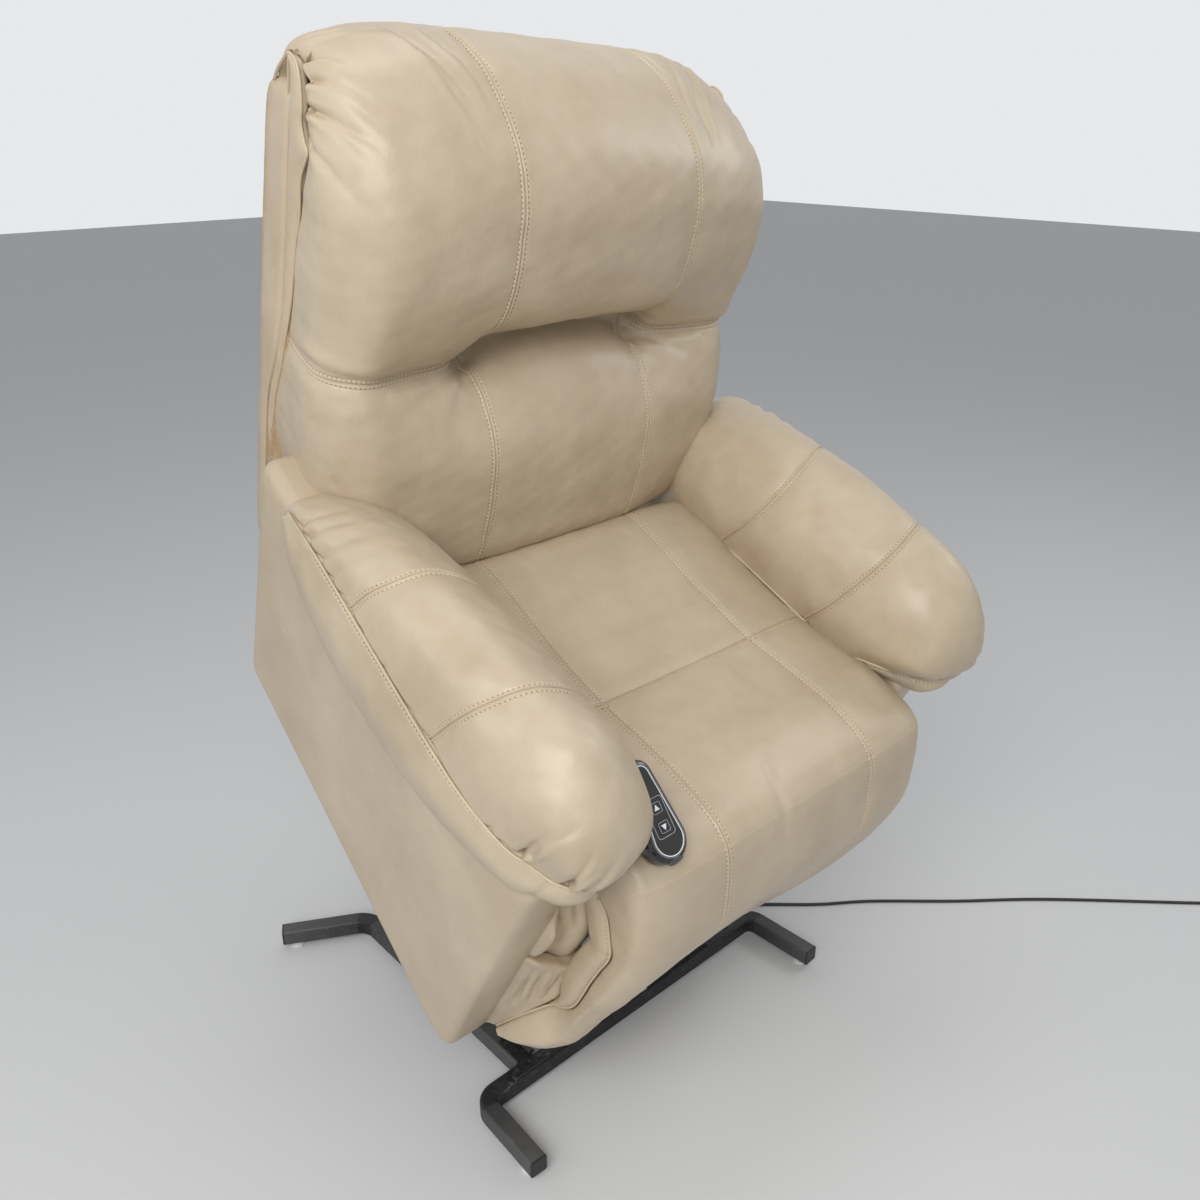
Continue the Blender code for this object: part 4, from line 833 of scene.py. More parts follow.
# The outside back from its lower tuck to its upper one: up, how much narrower, rear surface.
OUTSIDE_ROWS = [
    (0.0, .010, .012), (-0.002, .004, .002), (0.006, .001, -.003), (0.05, 0, -.005), (.15, 0, -.007),
    (.25, 0, -.008), (.35, 0, -.008), (.45, 0, -.008), (.55, 0, -.007), (.61, 0, -.006), (.638, .0015, -.005),
    (.650, .005, -.002), (.6565, .011, .006), (.658, .018, .022), (.654, .026, .040),
]


def outside_back():
    rows = []
    for up, narrower, rear in OUTSIDE_ROWS:
        edge = float(back_edge(up))
        x = 0.3648 - narrower
        middle = (edge + max(rear, 0.0)) / 2
        across = [(0, rear), (.20, rear), (x - .016, rear + .0005), (x - .004, rear + .0035),
                  (x, max(rear + .012, middle - .008)), (x + .0006, middle + .008),
                  (x - .001, edge - .002), (x - .010, edge + .001)]
        rows.append([(beside, up, forward) for beside, forward in across])
    skin = Skin(slump(mirrored(rows)), 0.005, row_guide=6)
    made = closed_skin("outside_back_panel", skin.points, back_frame)
    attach(made, "back")
    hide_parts("outside_back")


def back_boxing(side):
    """The strip between the outside back and the piping of the cushion."""
    rows = []
    for piping, strip in zip(CORNER_PIPING[4:], CORNER_STRIP):
        middle = tuple(np.add(piping, strip) / 2 + (0.0035, 0, 0))
        rows.append([(piping[0] - 0.010, *piping[1:]), piping, middle, strip,
                     (strip[0] - 0.007, strip[1], strip[2] - 0.003), (0.346, min(strip[1], 0.680), 0.026)])
    for x, up, forward in BACK_NET[9:18, BACK_SEAMS[side][-1]]:
        x = abs(x)
        edge = min(float(back_edge(up)), max(forward - 0.004, 0.004))
        rows.append([(x - 0.012, up, forward), (x + 0.001, up, forward),
                     (x + 0.0045, up, (forward + edge) / 2), (x + 0.0005, up, edge),
                     (x - 0.008, up, edge - 0.001), (x - 0.010, min(up, 0.668), max(edge - 0.026, 0.004))])
    skin = Skin(slump(side_net(rows, side)), 0.004)
    made = closed_skin(f"back_boxing_{SIDES[side]}", skin.points, back_frame)
    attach(made, "back")


# ---------------------------------------------------------------- arms

# Arm pad, (x, depth, height): rows from the rear to the nose, columns from the inner piping over the
# crown to the outer piping.
PAD_ROWS = [
    [(.285, .632, .29), (.285, .655, .325), (.312, .672, .375),
     (.370, .682, .400), (.412, .676, .415), (.424, .655, .440)],
    [(.28, .62, .31), (.275, .63, .38), (.30, .64, .45),
     (.37, .655, .485), (.42, .65, .495), (.435, .635, .490)],
    [(.28, .575, .328), (.268, .575, .42), (.300, .575, .505),
     (.365, .578, .540), (.425, .575, .537), (.444, .572, .508)],
    [(.28, .433, .397), (.266, .412, .487), (.300, .415, .570),
     (.370, .440, .602), (.430, .455, .573), (.447, .470, .512)],
    [(.28, .335, .421), (.264, .320, .508), (.298, .318, .597),
     (.371, .335, .633), (.432, .345, .597), (.448, .355, .512)],
    [(.28, .235, .441), (.264, .218, .525), (.299, .216, .618),
     (.372, .236, .655), (.432, .255, .610), (.448, .275, .513)],
    [(.282, .165, .458), (.264, .155, .540), (.298, .150, .630),
     (.375, .157, .666), (.435, .170, .615), (.448, .185, .513)],
    [(.290, .125, .48), (.270, .105, .55), (.302, .100, .623),
     (.375, .100, .650), (.434, .110, .610), (.4385, .124, .5205)],
    [(.308, .088, .494), (.285, .06, .555), (.313, .055, .605),
     (.375, .050, .615), (.422, .06, .592), (.4245, .090, .5235)],
    [(.325, .072, .497), (.312, .04, .545), (.335, .030, .57),
     (.375, .024, .572), (.408, .035, .565), (.413, .0640, .5250)],
    [(.329, .070, .497), (.342, .050, .508), (.356, .0350, .519),
     (.374, .0300, .526), (.390, .0370, .528), (.404, .0510, .527)],
]
PAD_SEAMS = (3, 5)       # rows of the arm pad's seams
# Where the arm pad's boxing starts, at its piping, and ends, on the arm box: from the inner rear round
# the nose.
PAD_LOOP = [
    ((.28, .60, .318), (.298, .598, .300)), ((.28, .433, .397), (.298, .433, .374)),
    ((.28, .333, .422), (.300, .333, .399)), ((.28, .235, .441), (.300, .235, .417)),
    ((.28, .177, .454), (.302, .180, .430)), ((.288, .13, .478), (.310, .137, .450)),
    ((.30, .098, .493), (.322, .108, .458)), ((.329, .070, .497), (.340, .076, .462)),
    ((.356, .0350, .519), (.354, .052, .468)), ((.374, .0300, .526), (.374, .047, .470)),
    ((.390, .0370, .528), (.392, .050, .474)), ((.404, .0510, .527), (.405, .060, .478)),
    ((.413, .0640, .525), (.4145, .074, .472)), ((.4245, .090, .5235), (.4165, .092, .452)),
    ((.4385, .124, .5205), (.4165, .125, .436)), ((.447, .19, .515), (.4165, .18, .412)),
    ((.448, .25, .512), (.4165, .245, .388)),
    ((.448, .33, .512), (.4165, .33, .370)), ((.447, .43, .512), (.4165, .44, .362)),
    ((.445, .53, .510), (.4165, .53, .378)), ((.444, .58, .507), (.4165, .60, .404)),
    ((.437, .64, .492), (.4165, .66, .448)),
]


# Pleats at the arm pad's nose, rooted in its front piping, and at its rear outer edge.
PAD_PLEATS = [
    ([(.430, .106, .524), (.436, .101, .548), (.436, .099, .575), (.432, .098, .600), (.420, .096, .620)],
     .0030, .0150, .6),
    ([(.432, .094, .550), (.434, .092, .592), (.420, .085, .616), (.396, .085, .635)], .0034, .0070, .6),
    ([(.403, .051, .530), (.408, .047, .545), (.412, .046, .575), (.406, .050, .600), (.398, .056, .614)],
     .0028, .0160, .6),
    ([(.410, .046, .540), (.408, .041, .575), (.401, .040, .591), (.388, .050, .612)], .0034, .0065, .6),
    ([(.392, .037, .531), (.396, .030, .560), (.388, .029, .582), (.376, .034, .600), (.368, .046, .612)],
     .0042, .0085, .7),
    ([(.374, .030, .528), (.372, .026, .548), (.364, .025, .570), (.358, .032, .596)], .0042, .0070, .7),
    ([(.352, .040, .515), (.350, .032, .540), (.346, .028, .565)], .0036, .0100, -.6),
    ([(.322, .072, .500), (.318, .048, .530), (.318, .042, .560)], .0036, .0090, -.6),
    ([(.440, .150, .518), (.442, .147, .545), (.441, .140, .580), (.432, .132, .612)], .0060, .0040, .7),
    ([(.446, .125, .515), (.444, .127, .540), (.443, .128, .565), (.439, .126, .600), (.424, .127, .630)],
     .0060, .0030, .7),
    ([(.443, .112, .525), (.442, .115, .574), (.436, .112, .607), (.415, .106, .633)], .0060, .0030, .7),
    ([(.444, .612, .506), (.420, .604, .524), (.380, .600, .533), (.340, .604, .522)], .0055, .0060, .6),
    ([(.445, .588, .508), (.424, .578, .532), (.386, .570, .544), (.345, .572, .534)], .0055, .0065, .6),
    ([(.446, .552, .511), (.430, .544, .542), (.395, .538, .558), (.352, .540, .548)], .0060, .0055, .6),
    ([(.446, .520, .512), (.428, .512, .556), (.395, .508, .576)], .0055, .0035, .6),
    ([(.447, .492, .512), (.432, .487, .560), (.405, .484, .584)], .0050, .0030, .6),
    ([(.447, .440, .512), (.436, .436, .565), (.412, .432, .594)], .0060, .0016, .6),
    ([(.448, .380, .512), (.438, .377, .570), (.420, .375, .603)], .0060, .0014, -.6),
    ([(.448, .318, .512), (.438, .321, .575), (.420, .324, .606)], .0060, .0014, .6),
]


def arm_cushion(side):
    """The soft upper side of an arm pad, its two seams across and its piping."""
    word = SIDES[side]
    outer, outer_half = (5.0, (2.6, 5.0)) if side > 0 else (0.0, (0.0, 2.4))
    skin = Skin(side_net(PAD_ROWS, side), unless_quick(0.0032), seam_rows=PAD_SEAMS,
                fine_rows=unless_quick(((7.2, 10.0, 0.0018),)),
                fine_columns=unless_quick(((*outer_half, 0.0020),)), row_guide=5)
    relief = 0.0009 * ripple(skin.q[:, 1:], 0.10, 1.0 + side) + 0.0004 * ripple(skin.q[:, :2], 0.034, 0.6)
    for row in PAD_SEAMS:
        relief += groove(skin.off(row, np.linspace(0, 5, 120)), 0.0022, 0.018)
    relief += tucked(skin, np.linspace(1, 10, 160), outer) + tucked(skin, 10.0, np.linspace(0, 5, 40))
    for path, width, depth, lip in PAD_PLEATS:
        relief += skin.fold(other_side(path, side), width, depth, lip * side, True, 1.2)
    skin.push(relief)
    rows = []
    for row in PAD_SEAMS:
        rows += skin.stitch_rows(row, np.linspace(0.05, 4.95, 120))
    made = closed_skin(f"{word}_arm_cushion", skin.points, body_frame)
    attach(stitches(f"{word}_arm_stitching", rows, body_frame), "chair_body")
    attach(made, "chair_body")
    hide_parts(f"{word}_arm_pad")
    loop = other_side([piping for piping, _ in PAD_LOOP], side)
    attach(welt(f"{word}_arm_piping", loop, body_frame), "chair_body")


def arm_boxing(side):
    """The strip below an arm pad, from its piping to the arm box."""
    word = SIDES[side]
    start, end = (np.array(line) for line in zip(*PAD_LOOP))
    inwards = unit(np.cross((0, 0, 1.0), np.gradient(start, axis=0) * (1, 1, 0)))
    swell = -inwards * np.clip(0.19 * np.linalg.norm(end - start, axis=1, keepdims=True), 0.003, 0.023)
    between = [start * (1 - s) + end * s + swell * size
               for s, size in ((.10, .24), (.38, .92), (.66, 1.0), (.90, .66))]
    rows = np.stack([start + inwards * 0.010, start - inwards * 0.0005, *between, end, end + inwards * 0.014],
                    axis=1)
    boxing = Skin(side_net(rows, side, turned=True), 0.005, row_guide=15)
    r = np.linspace(0, len(rows) - 1.0, 300)
    edge, sewn = (5.0, 4.55) if side > 0 else (1.0, 1.45)
    relief = tucked(boxing, r, edge)
    for joint in ((.405, .060, .50), (.40, .56, .45)):
        nearest = np.argmin(((boxing.at(r, edge) - other_side(joint, side)) ** 2).sum(1))
        relief += plain_seam(boxing.off(r[nearest], np.linspace(0, 6, 30)), 0.0022)
    boxing.push(relief)
    row = boxing.stitch_rows(r[20:-4], sewn, (0.0,))
    seam = stitches(f"{word}_arm_boxing_stitching", row, body_frame)
    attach(seam, "chair_body")
    made = closed_skin(f"{word}_arm_boxing", boxing.points, body_frame)
    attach(made, "chair_body")


# Arm box, (depth, height) of its corners, and its levels from its inner to its outer face: how far the
# outline is drawn in, x, and the radius of its corners.
ARM_OUTLINE = [(0, 0), (.649, .078), (.7586, .4618), (.0633, .468)]
ARM_LEVELS = [
    (.010, .3330, .008), (.003, .3345, .012), (-.001, .339, .015), (-.002, .366, .017), (-.002, .392, .018),
    (-.0008, .4005, .018), (.0016, .4065, .019), (.0055, .4105, .020), (.0105, .4130, .021),
    (.018, .4143, .022), (.032, .4153, .025), (.08, .4160, .030), (.16, .4164, .035),
]


def slab(outline, levels):
    """Rings of points of a convex slab with round corners, one ring for each level."""
    outline = np.asarray(outline, float)
    ahead = unit(np.roll(outline, -1, 0) - outline)
    normal = np.stack([-ahead[:, 1], ahead[:, 0]], -1)
    before = np.roll(normal, 1, 0)
    shift = (before + normal) / (1 + (before * normal).sum(1, keepdims=True))
    turn = np.linspace(0, 1, 7)[:, None]
    run = np.linspace(0, 1, 25)[1:-1, None]
    rings = []
    for drawn_in, x, radius in levels:
        corner = outline + shift * drawn_in
        back, on = unit(np.roll(corner, 1, 0) - corner), unit(np.roll(corner, -1, 0) - corner)
        half = np.arccos((back * on).sum(1, keepdims=True)) / 2
        arc_start = (corner + back * radius / np.tan(half))[:, None]
        arc_end = (corner + on * radius / np.tan(half))[:, None]
        middle = (corner + unit(back + on) * radius / np.sin(half))[:, None]
        arcs = middle + unit(arc_start * (1 - turn) + arc_end * turn - middle) * radius
        edges = arc_end * (1 - run) + np.roll(arc_start, -1, 0) * run
        ring = np.concatenate([arcs, edges], 1).reshape(-1, 2)
        rings.append(np.column_stack([np.full(len(ring), x), ring]))
    return np.array(rings)


def arm_box(side):
    word = SIDES[side]
    rings = slab(ARM_OUTLINE, ARM_LEVELS)
    verts = np.concatenate([rings.reshape(-1, 3), rings[:1].mean(1), rings[-1:].mean(1)])
    count = rings.shape[1]
    ring = np.arange(count)
    after = np.roll(ring, -1)
    last = (len(rings) - 1) * count
    fans = np.concatenate([np.stack([ring, after, np.full(count, len(verts) - 2)], -1),
                           np.stack([after + last, ring + last, np.full(count, len(verts) - 1)], -1)])
    quads = grid_faces(len(rings), count, wrap=True)
    if side < 0:
        quads, fans = quads[:, ::-1], fans[:, ::-1]
    made = make(f"{word}_arm_panel", body_frame(other_side(verts, side)), [quads, fans], LEATHER)
    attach(made, "chair_body")
    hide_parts(f"{word}_arm_box")


# ---------------------------------------------------------------- seat, front and footrest

SEAM_X = 0.155           # where the long seams of the seat lie
# Two places in the chair's middle, at the front leather below the front edge of the seat.
BEND_START, BEND_END = body_frame([(0, -.045, .44), (0, -.10, .315)])
# Seat and front panel, one leather surface: (depth, height) of its middle from the rear tuck over the
# front edge and down to the footrest, and (x, depth, height) of its side piping.
SEAT_ROWS = [
    ((.56, .36), (.278, .56, .33)), ((.537, .393), (.280, .537, .35)),
    ((.47, .408), (.282, .47, .36)), ((.40, .417), (.284, .40, .366)),
    ((.32, .430), (.285, .32, .372)), ((.247, .447), (.286, .247, .380)),
    ((.17, .475), (.287, .17, .390)), ((.10, .497), (.288, .10, .395)),
    ((.04, .506), (.288, .052, .393)), ((.012, .504), (.289, .034, .388)),
    ((-.013, .493), (.289, .010, .380)), ((-.045, .455), (.289, -.014, .357)),
    ((-.077, .400), (.289, -.032, .333)), ((-.090, .340), (.289, -.037, .293)),
    ((-.096, .290), (.289, -.042, .255)), ((-.097, .200), (.289, -.053, .188)),
    ((-.092, .125), (.289, -.046, .152)), ((-.083, .070), (.289, -.034, .129)),
    ((-.070, .040), (.300, -.026, .098)), ((-.054, .026), (.309, -.020, .070)),
    ((-.034, .020), (.316, -.015, .042)), ((-.012, .014), (.322, -.010, .004)),
]
FRONT_EDGE = 9.6         # row where the seat's piece ends and the front panel's begins
# The roll at the footrest's lower edge swells sideways: (x, depth, height) of its shoulder and cheek.
ROLL_ROWS = {
    16: ((.277, -.094, .120), (.2975, -.083, .125)), 17: ((.278, -.086, .066), (.301, -.079, .090)),
    18: ((.284, -.075, .033), (.310, -.070, .064)), 19: ((.288, -.059, .017), (.317, -.058, .042)),
    20: ((.290, -.042, .008), (.322, -.044, .022)), 21: ((.292, -.022, .000), (.325, -.026, .004)),
}
# Where the footrest's side boxing ends inside, for the rows 8 to 17.
BOXING_INNER = [
    (.280, .060, .365), (.280, .039, .343), (.280, .022, .325), (.280, .006, .306), (.281, .002, .300),
    (.281, .000, .262), (.281, -.004, .225), (.281, -.016, .180), (.282, -.030, .157), (.284, -.030, .135),
]
# Loose leather between the boxing and the arm box: upper and lower gusset, from the arm box inwards.
GUSSET_UPPER = [
    [(.345, .090, .402), (.331, .066, .402), (.318, .072, .394),
     (.300, .074, .380), (.277, .062, .368), (.245, .068, .36)],
    [(.345, .084, .380), (.331, .060, .380), (.318, .064, .364),
     (.300, .062, .350), (.277, .044, .340), (.245, .052, .335)],
    [(.345, .074, .345), (.331, .050, .345), (.318, .054, .335),
     (.300, .050, .325), (.277, .024, .314), (.240, .032, .310)],
    [(.345, .056, .312), (.331, .030, .312), (.318, .030, .305),
     (.300, .028, .298), (.277, .012, .290), (.238, .020, .290)],
    [(.345, .048, .275), (.331, .026, .275), (.318, .024, .268),
     (.300, .022, .262), (.277, .007, .258), (.238, .014, .258)],
    [(.345, .048, .235), (.331, .028, .235), (.318, .028, .225),
     (.300, .026, .215), (.277, .006, .218), (.238, .012, .218)],
    [(.345, .070, .195), (.331, .048, .195), (.318, .046, .190),
     (.300, .038, .185), (.277, .018, .188), (.238, .022, .190)],
]
GUSSET_LOWER = [
    [(.345, .056, .226), (.331, .040, .228), (.318, .034, .222),
     (.300, .024, .216), (.279, .010, .210), (.245, .018, .208)],
    [(.345, .036, .232), (.331, .018, .232), (.318, .010, .227),
     (.300, .001, .220), (.279, -.008, .212), (.245, -.002, .210)],
    [(.345, .034, .200), (.331, .016, .202), (.320, .004, .201),
     (.302, -.008, .199), (.281, -.015, .194), (.248, -.010, .192)],
    [(.345, .028, .160), (.331, .012, .160), (.321, .000, .160),
     (.304, -.012, .165), (.283, -.023, .168), (.250, -.018, .165)],
    [(.345, .022, .110), (.331, .008, .110), (.323, -.003, .112),
     (.308, -.014, .125), (.287, -.030, .146), (.256, -.024, .140)],
    [(.345, .016, .055), (.331, .003, .055), (.326, -.003, .058),
     (.315, -.012, .070), (.299, -.024, .102), (.270, -.020, .100)],
    [(.345, .010, .003), (.330, -.001, .003), (.324, -.008, .006),
     (.317, -.013, .042), (.307, -.019, .074), (.280, -.015, .075)],
]


def seat_net():
    """The net of seat and front panel; the front hangs loose in the middle and towards the right."""
    middle = np.array([m for m, _ in SEAT_ROWS])
    piping = np.array([p for _, p in SEAT_ROWS])
    along = np.gradient(middle, axis=0)
    inward = unit(np.stack([-along[:, 1], along[:, 0]], -1))
    rows = []
    for m, n, p in zip(middle, inward, piping):
        shoulder, cheek = (.276, *(m + n * 0.007)), (.2985, *(m + n * 0.023))
        if len(rows) in ROLL_ROWS:
            shoulder, cheek = ROLL_ROWS[len(rows)]
        between = np.array(cheek) * .45 + np.array(p) * .55 + (.0035, 0, 0)
        pulled = m + n * 0.001
        rows.append([(0, *pulled), (SEAM_X, *m), (.235, *pulled), shoulder, cheek, between, p])
    net = mirrored(rows)
    slack = np.interp(net[13:18, :, 0], (-.28, -.235, -.155, 0, .155, .28), (0, .010, .016, .017, .004, 0))
    net[13:18, :, 1] += slack * np.array((.4, .9, 1.0, .85, .5))[:, None]
    return net


SEAT_CREASES = [
    ([(-.016, .090, .500), (-.020, .075, .500), (-.036, .034, .505), (-.043, -.005, .499),
      (-.046, -.05, .45)], .009, .0022, .4),
    ([(-.02, -.080, .400), (.004, -.078, .408), (.066, -.074, .408), (.10, -.07, .415)], .006, .0018, .4),
]
# Each gusset's net and its folds: path, width, depth, lip.
GUSSETS = {
    "upper": (GUSSET_UPPER, [
        ([(.322, .056, .385), (.314, .052, .345), (.306, .040, .318)], .005, .008, .8),
        ([(.300, .056, .385), (.292, .040, .335), (.284, .024, .300)], .006, .006, .7)]),
    "lower": (GUSSET_LOWER, [
        ([(.328, .012, .218), (.327, .004, .150), (.322, -.002, .085)], .005, .008, .8),
        ([(.312, .008, .215), (.314, -.004, .165), (.309, -.012, .115)], .006, .008, .8),
        ([(.290, -.002, .208), (.292, -.012, .180), (.296, -.022, .130)], .005, .007, .8),
        ([(.300, .002, .212), (.301, -.008, .185), (.302, -.014, .150)], .004, .004, .6)]),
}


def footrest_boxing(side):
    """The side of the footrest, from the front panel's piping inwards."""
    word = SIDES[side]
    piping = np.array([p for _, p in SEAT_ROWS[8:18]])
    inner = np.array(BOXING_INNER)
    swell = np.array((.0065, 0, 0))
    rows = np.stack([piping - (.010, 0, 0), piping, piping * .70 + inner * .30 + swell,
                     piping * .35 + inner * .65 + swell * 1.05, inner + swell * .35,
                     inner - (.012, -.004, 0)], axis=1)
    boxing = Skin(side_net(rows, side), 0.004, row_guide=5)
    corner, _, _ = boxing.distance(other_side([(.292, -.034, .334), (.285, .000, .300)], side))
    edge, sewn = (1.0, 1.22) if side > 0 else (4.0, 3.78)
    boxing.push(plain_seam(corner, 0.003) + tucked(boxing, np.linspace(0, 9, 120), edge, 0.0026))
    made = closed_skin(f"{word}_footrest_boxing", boxing.points, body_frame, lining=(0.003, boxing.normals()))
    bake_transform(made)
    row = boxing.stitch_rows(np.linspace(1.2, 8.8, 200), sewn, (0.0,))
    seam = stitches(f"{word}_footrest_stitching", row, body_frame)
    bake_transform(seam)


def gusset(side, level):
    """Loose folded leather between the footrest's boxing and the arm box."""
    net, folds = GUSSETS[level]
    skin = Skin(side_net(net, side, turned=True), 0.003, row_guide=3)
    for path, width, depth, lip in folds:
        skin.push(skin.fold(other_side(path, side), width, depth, lip * side, False))
    name = f"{SIDES[side]}_gusset_{level}"
    made = closed_skin(name, skin.points, body_frame, lining=(0.003, skin.normals()))
    if level == "upper":
        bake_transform(made)
    else:
        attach(made, "footrest")


def seat_surface():
    """Seat and front panel with their seams, tucks and creases."""
    skin = Skin(seat_net(), unless_quick(0.0036), seam_columns=(5, 7), seam_rows=(5,),
                row_guide=8)
    relief = 0.0010 * ripple(skin.q[:, :2], 0.12, 3.0) + 0.0004 * ripple(skin.q[:, 1:], 0.04, 1.1)
    for column in (5, 7):
        relief += groove(skin.off(np.linspace(0.3, 20.5, 160), column), 0.0012, 0.016)
    across = skin.off(5.0, np.linspace(1.0, 11.0, 80))
    middle = np.clip((SEAM_X - np.abs(skin.q[:, 0])) / 0.004, 0, 1)
    relief += middle * plain_seam(across) + (1 - middle) * groove(across, 0.0012, 0.010)
    for column in (0, 12):
        relief += tucked(skin, np.linspace(9, 21, 200), column)
    for path, width, depth, lip in SEAT_CREASES:
        relief += skin.fold(path, width, depth, lip, False)
    skin.push(relief)
    return skin


def seat_and_front():
    """One leather surface, cut in two pieces at the front edge of the seat."""
    skin = seat_surface()
    on_seat, on_front = [], []
    for column in (5, 7):
        on_seat += skin.stitch_rows(np.linspace(0.8, FRONT_EDGE, 240), column)
        on_front += skin.stitch_rows(np.linspace(FRONT_EDGE, 18.5, 240), column)
    for low, high in ((1.6, 4.9), (7.1, 10.4)):
        on_seat += skin.stitch_rows(5.0, np.linspace(low, high, 60))
    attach(stitches("seat_stitching", on_seat, body_frame), "chair_body")
    sewn = stitches("front_stitching", on_front, body_frame)
    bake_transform(sewn)
    for side, word in SIDES.items():
        piping = welt(f"{word}_front_piping", other_side([p for _, p in SEAT_ROWS[9:]], side), body_frame)
        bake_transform(piping)
    normals = skin.normals()
    cut = int(np.searchsorted(skin.t_row, FRONT_EDGE))
    seat = closed_skin("seat_skin", skin.points[:cut + 1], body_frame, normals=normals[:cut + 1])
    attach(seat, "chair_body")
    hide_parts("seat_cushion")
    front = closed_skin("front_panel", skin.points[cut:], body_frame, normals=normals[cut:],
                        lining=(0.010, normals[cut:]))
    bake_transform(front)
    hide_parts("chaise_bridge", "footrest_pad")


# ---------------------------------------------------------------- hand control

HAND_TILT = LIFT_TILT + math.radians(17.0)
HAND_TOP = 0.029
HAND_BUTTONS = {"up_button": 0.003, "down_button": -0.021}
HAND_ENDS = ((-0.035, 0.031), (0.045, 0.021))   # centre and radius of the two ends of the pear outline


def hand_frame(points):
    """Places in the model's frame of (x, along, thickness) points of the hand control."""
    low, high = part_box("up_button")
    centre = np.array([(low[i] + high[i]) / 2 for i in range(3)])
    c, s = math.cos(HAND_TILT), math.sin(HAND_TILT)
    along, out = np.array((0, c, s)), np.array((0, -s, c))
    middle = HAND_TOP - 0.00075
    p = np.asarray(points, float)
    return (centre + p[..., :1] * (1, 0, 0) + (p[..., 1:2] - HAND_BUTTONS["up_button"]) * along
            + (p[..., 2:3] - middle) * out)


def pear(shrink):
    """Outline of the hand control, drawn in by a distance."""
    count = 24
    (wide_y, wide), (narrow_y, narrow) = HAND_ENDS
    lean = math.asin((wide - narrow) / (narrow_y - wide_y))
    top = np.linspace(lean, math.pi - lean, count)
    low = np.linspace(math.pi - lean, 2 * math.pi + lean, 2 * count)
    arcs = [np.stack([np.cos(a) * (r - shrink), y + np.sin(a) * (r - shrink)], -1)
            for a, y, r in ((top, narrow_y, narrow), (low, wide_y, wide))]
    return np.concatenate(arcs)


def ring_faces(count, pairs):
    """Quads between pairs of rings that follow each other in one list of points."""
    i = np.arange(count)
    after = (i + 1) % count
    return np.concatenate([np.stack([a * count + i, a * count + after, b * count + after, b * count + i], -1)
                           for a, b in pairs])


def raised(outline, height):
    """An outline in the plane, brought to a height."""
    return np.column_stack([outline, np.full(len(outline), height)])


def plate(name, lower, upper, finish, body):
    """A closed plate between two rings of points."""
    count = len(lower)
    i = np.arange(count)
    made = make(name, np.concatenate([lower, upper]),
                [ring_faces(count, [(0, 1)]), (count + i)[None], i[::-1][None]], finish)
    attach(made, body)
    return made


def flat_shaded(made):
    made.data.polygons.foreach_set("use_smooth", np.zeros(len(made.data.polygons), bool))


def flat_plate(name, outline, low, high, finish, body, place=hand_frame):
    """A closed flat plate with the given outline."""
    flat_shaded(plate(name, place(raised(outline, low)), place(raised(outline, high)), finish, body))


def flat_band(name, inner, outer, low, high, finish, body):
    """A closed flat band of the hand control between two outlines with the same number of points."""
    verts = np.concatenate([raised(inner, low), raised(inner, high), raised(outer, high), raised(outer, low)])
    faces = ring_faces(len(inner), [(0, 1), (1, 2), (2, 3), (3, 0)])
    made = make(name, hand_frame(verts), [faces], finish)
    flat_shaded(made)
    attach(made, body)


def rounded(x0, x1, y0, y1, radius, count=5):
    """Outline of a rectangle with round corners."""
    corners = ((x1 - radius, y1 - radius, 0), (x0 + radius, y1 - radius, 1), (x0 + radius, y0 + radius, 2),
               (x1 - radius, y0 + radius, 3))
    return np.array([(x + radius * math.cos(a), y + radius * math.sin(a)) for x, y, q in corners
                     for a in np.linspace(q, q + 1, count) * math.pi / 2])


def plastic(name, colour, rough, coat=0.0):
    f = Finish(name)
    smudge = f.noise(45.0, 4.0, 0.6).between(0.35, 0.7)
    scratches = f.noise(160.0, 2.0, 0.5, (1.0, 8.0, 1.0)).between(0.66, 0.72)
    scratched = f.mix(scratches * 0.12, colour, tuple(min(1, c + .1) for c in colour))
    return f.set(Base_Color=scratched, Coat_Weight=coat, Roughness=smudge * 0.14 + rough,
                 Normal=f.bump(f.noise(700.0, 2.0), 0.00004, 0.5))


def hand_outlines(white, grey):
    """The two rings and the edge of the panel on the hand control."""
    skin = HAND_TOP - 0.0002
    flat_band("hand_ring", pear(.0098), pear(.0086), skin, HAND_TOP + .0004, white, "hand_control")
    flat_band("hand_ring_outer", pear(.0074), pear(.0070), skin, HAND_TOP + .0002, grey, "hand_control")
    flat_band("hand_panel_edge", rounded(-.0135, .0135, -.0325, .0150, .004),
              rounded(-.0142, .0142, -.0332, .0157, .0045), skin, HAND_TOP + .0003, grey, "hand_control")


def hand_tip(finish):
    """The oval on the sloping wide end of the hand control."""
    angle = np.linspace(0, 2 * math.pi, 28, endpoint=False)
    end = -0.0645
    spot = np.stack([np.cos(angle) * .0115, end + .0018 + np.sin(angle) * .0040], -1)
    oval = np.column_stack([spot, HAND_TOP - 0.0082 + (spot[:, 1] - end) * 1.25])
    plate("hand_tip_oval", hand_frame(oval), hand_frame(oval + (0, -.0016, .0012)), finish,
          "hand_control")


def hand_button(name, middle, grey, white):
    """The rim and the arrow of a button."""
    low, high = HAND_TOP + 0.0009, HAND_TOP + 0.0014
    flat_band(f"{name}_edge", rounded(-.0072, .0072, middle - .0062, middle + .0062, .0022),
              rounded(-.0078, .0078, middle - .0068, middle + .0068, .0026), low, high, grey, name)
    way = 1 if name == "up_button" else -1
    arrow = [(-.0042, middle - .0030 * way), (.0042, middle - .0030 * way), (0, middle + .0044 * way)]
    flat_plate(f"{name}_arrow", arrow[::way], low, high, white, name)


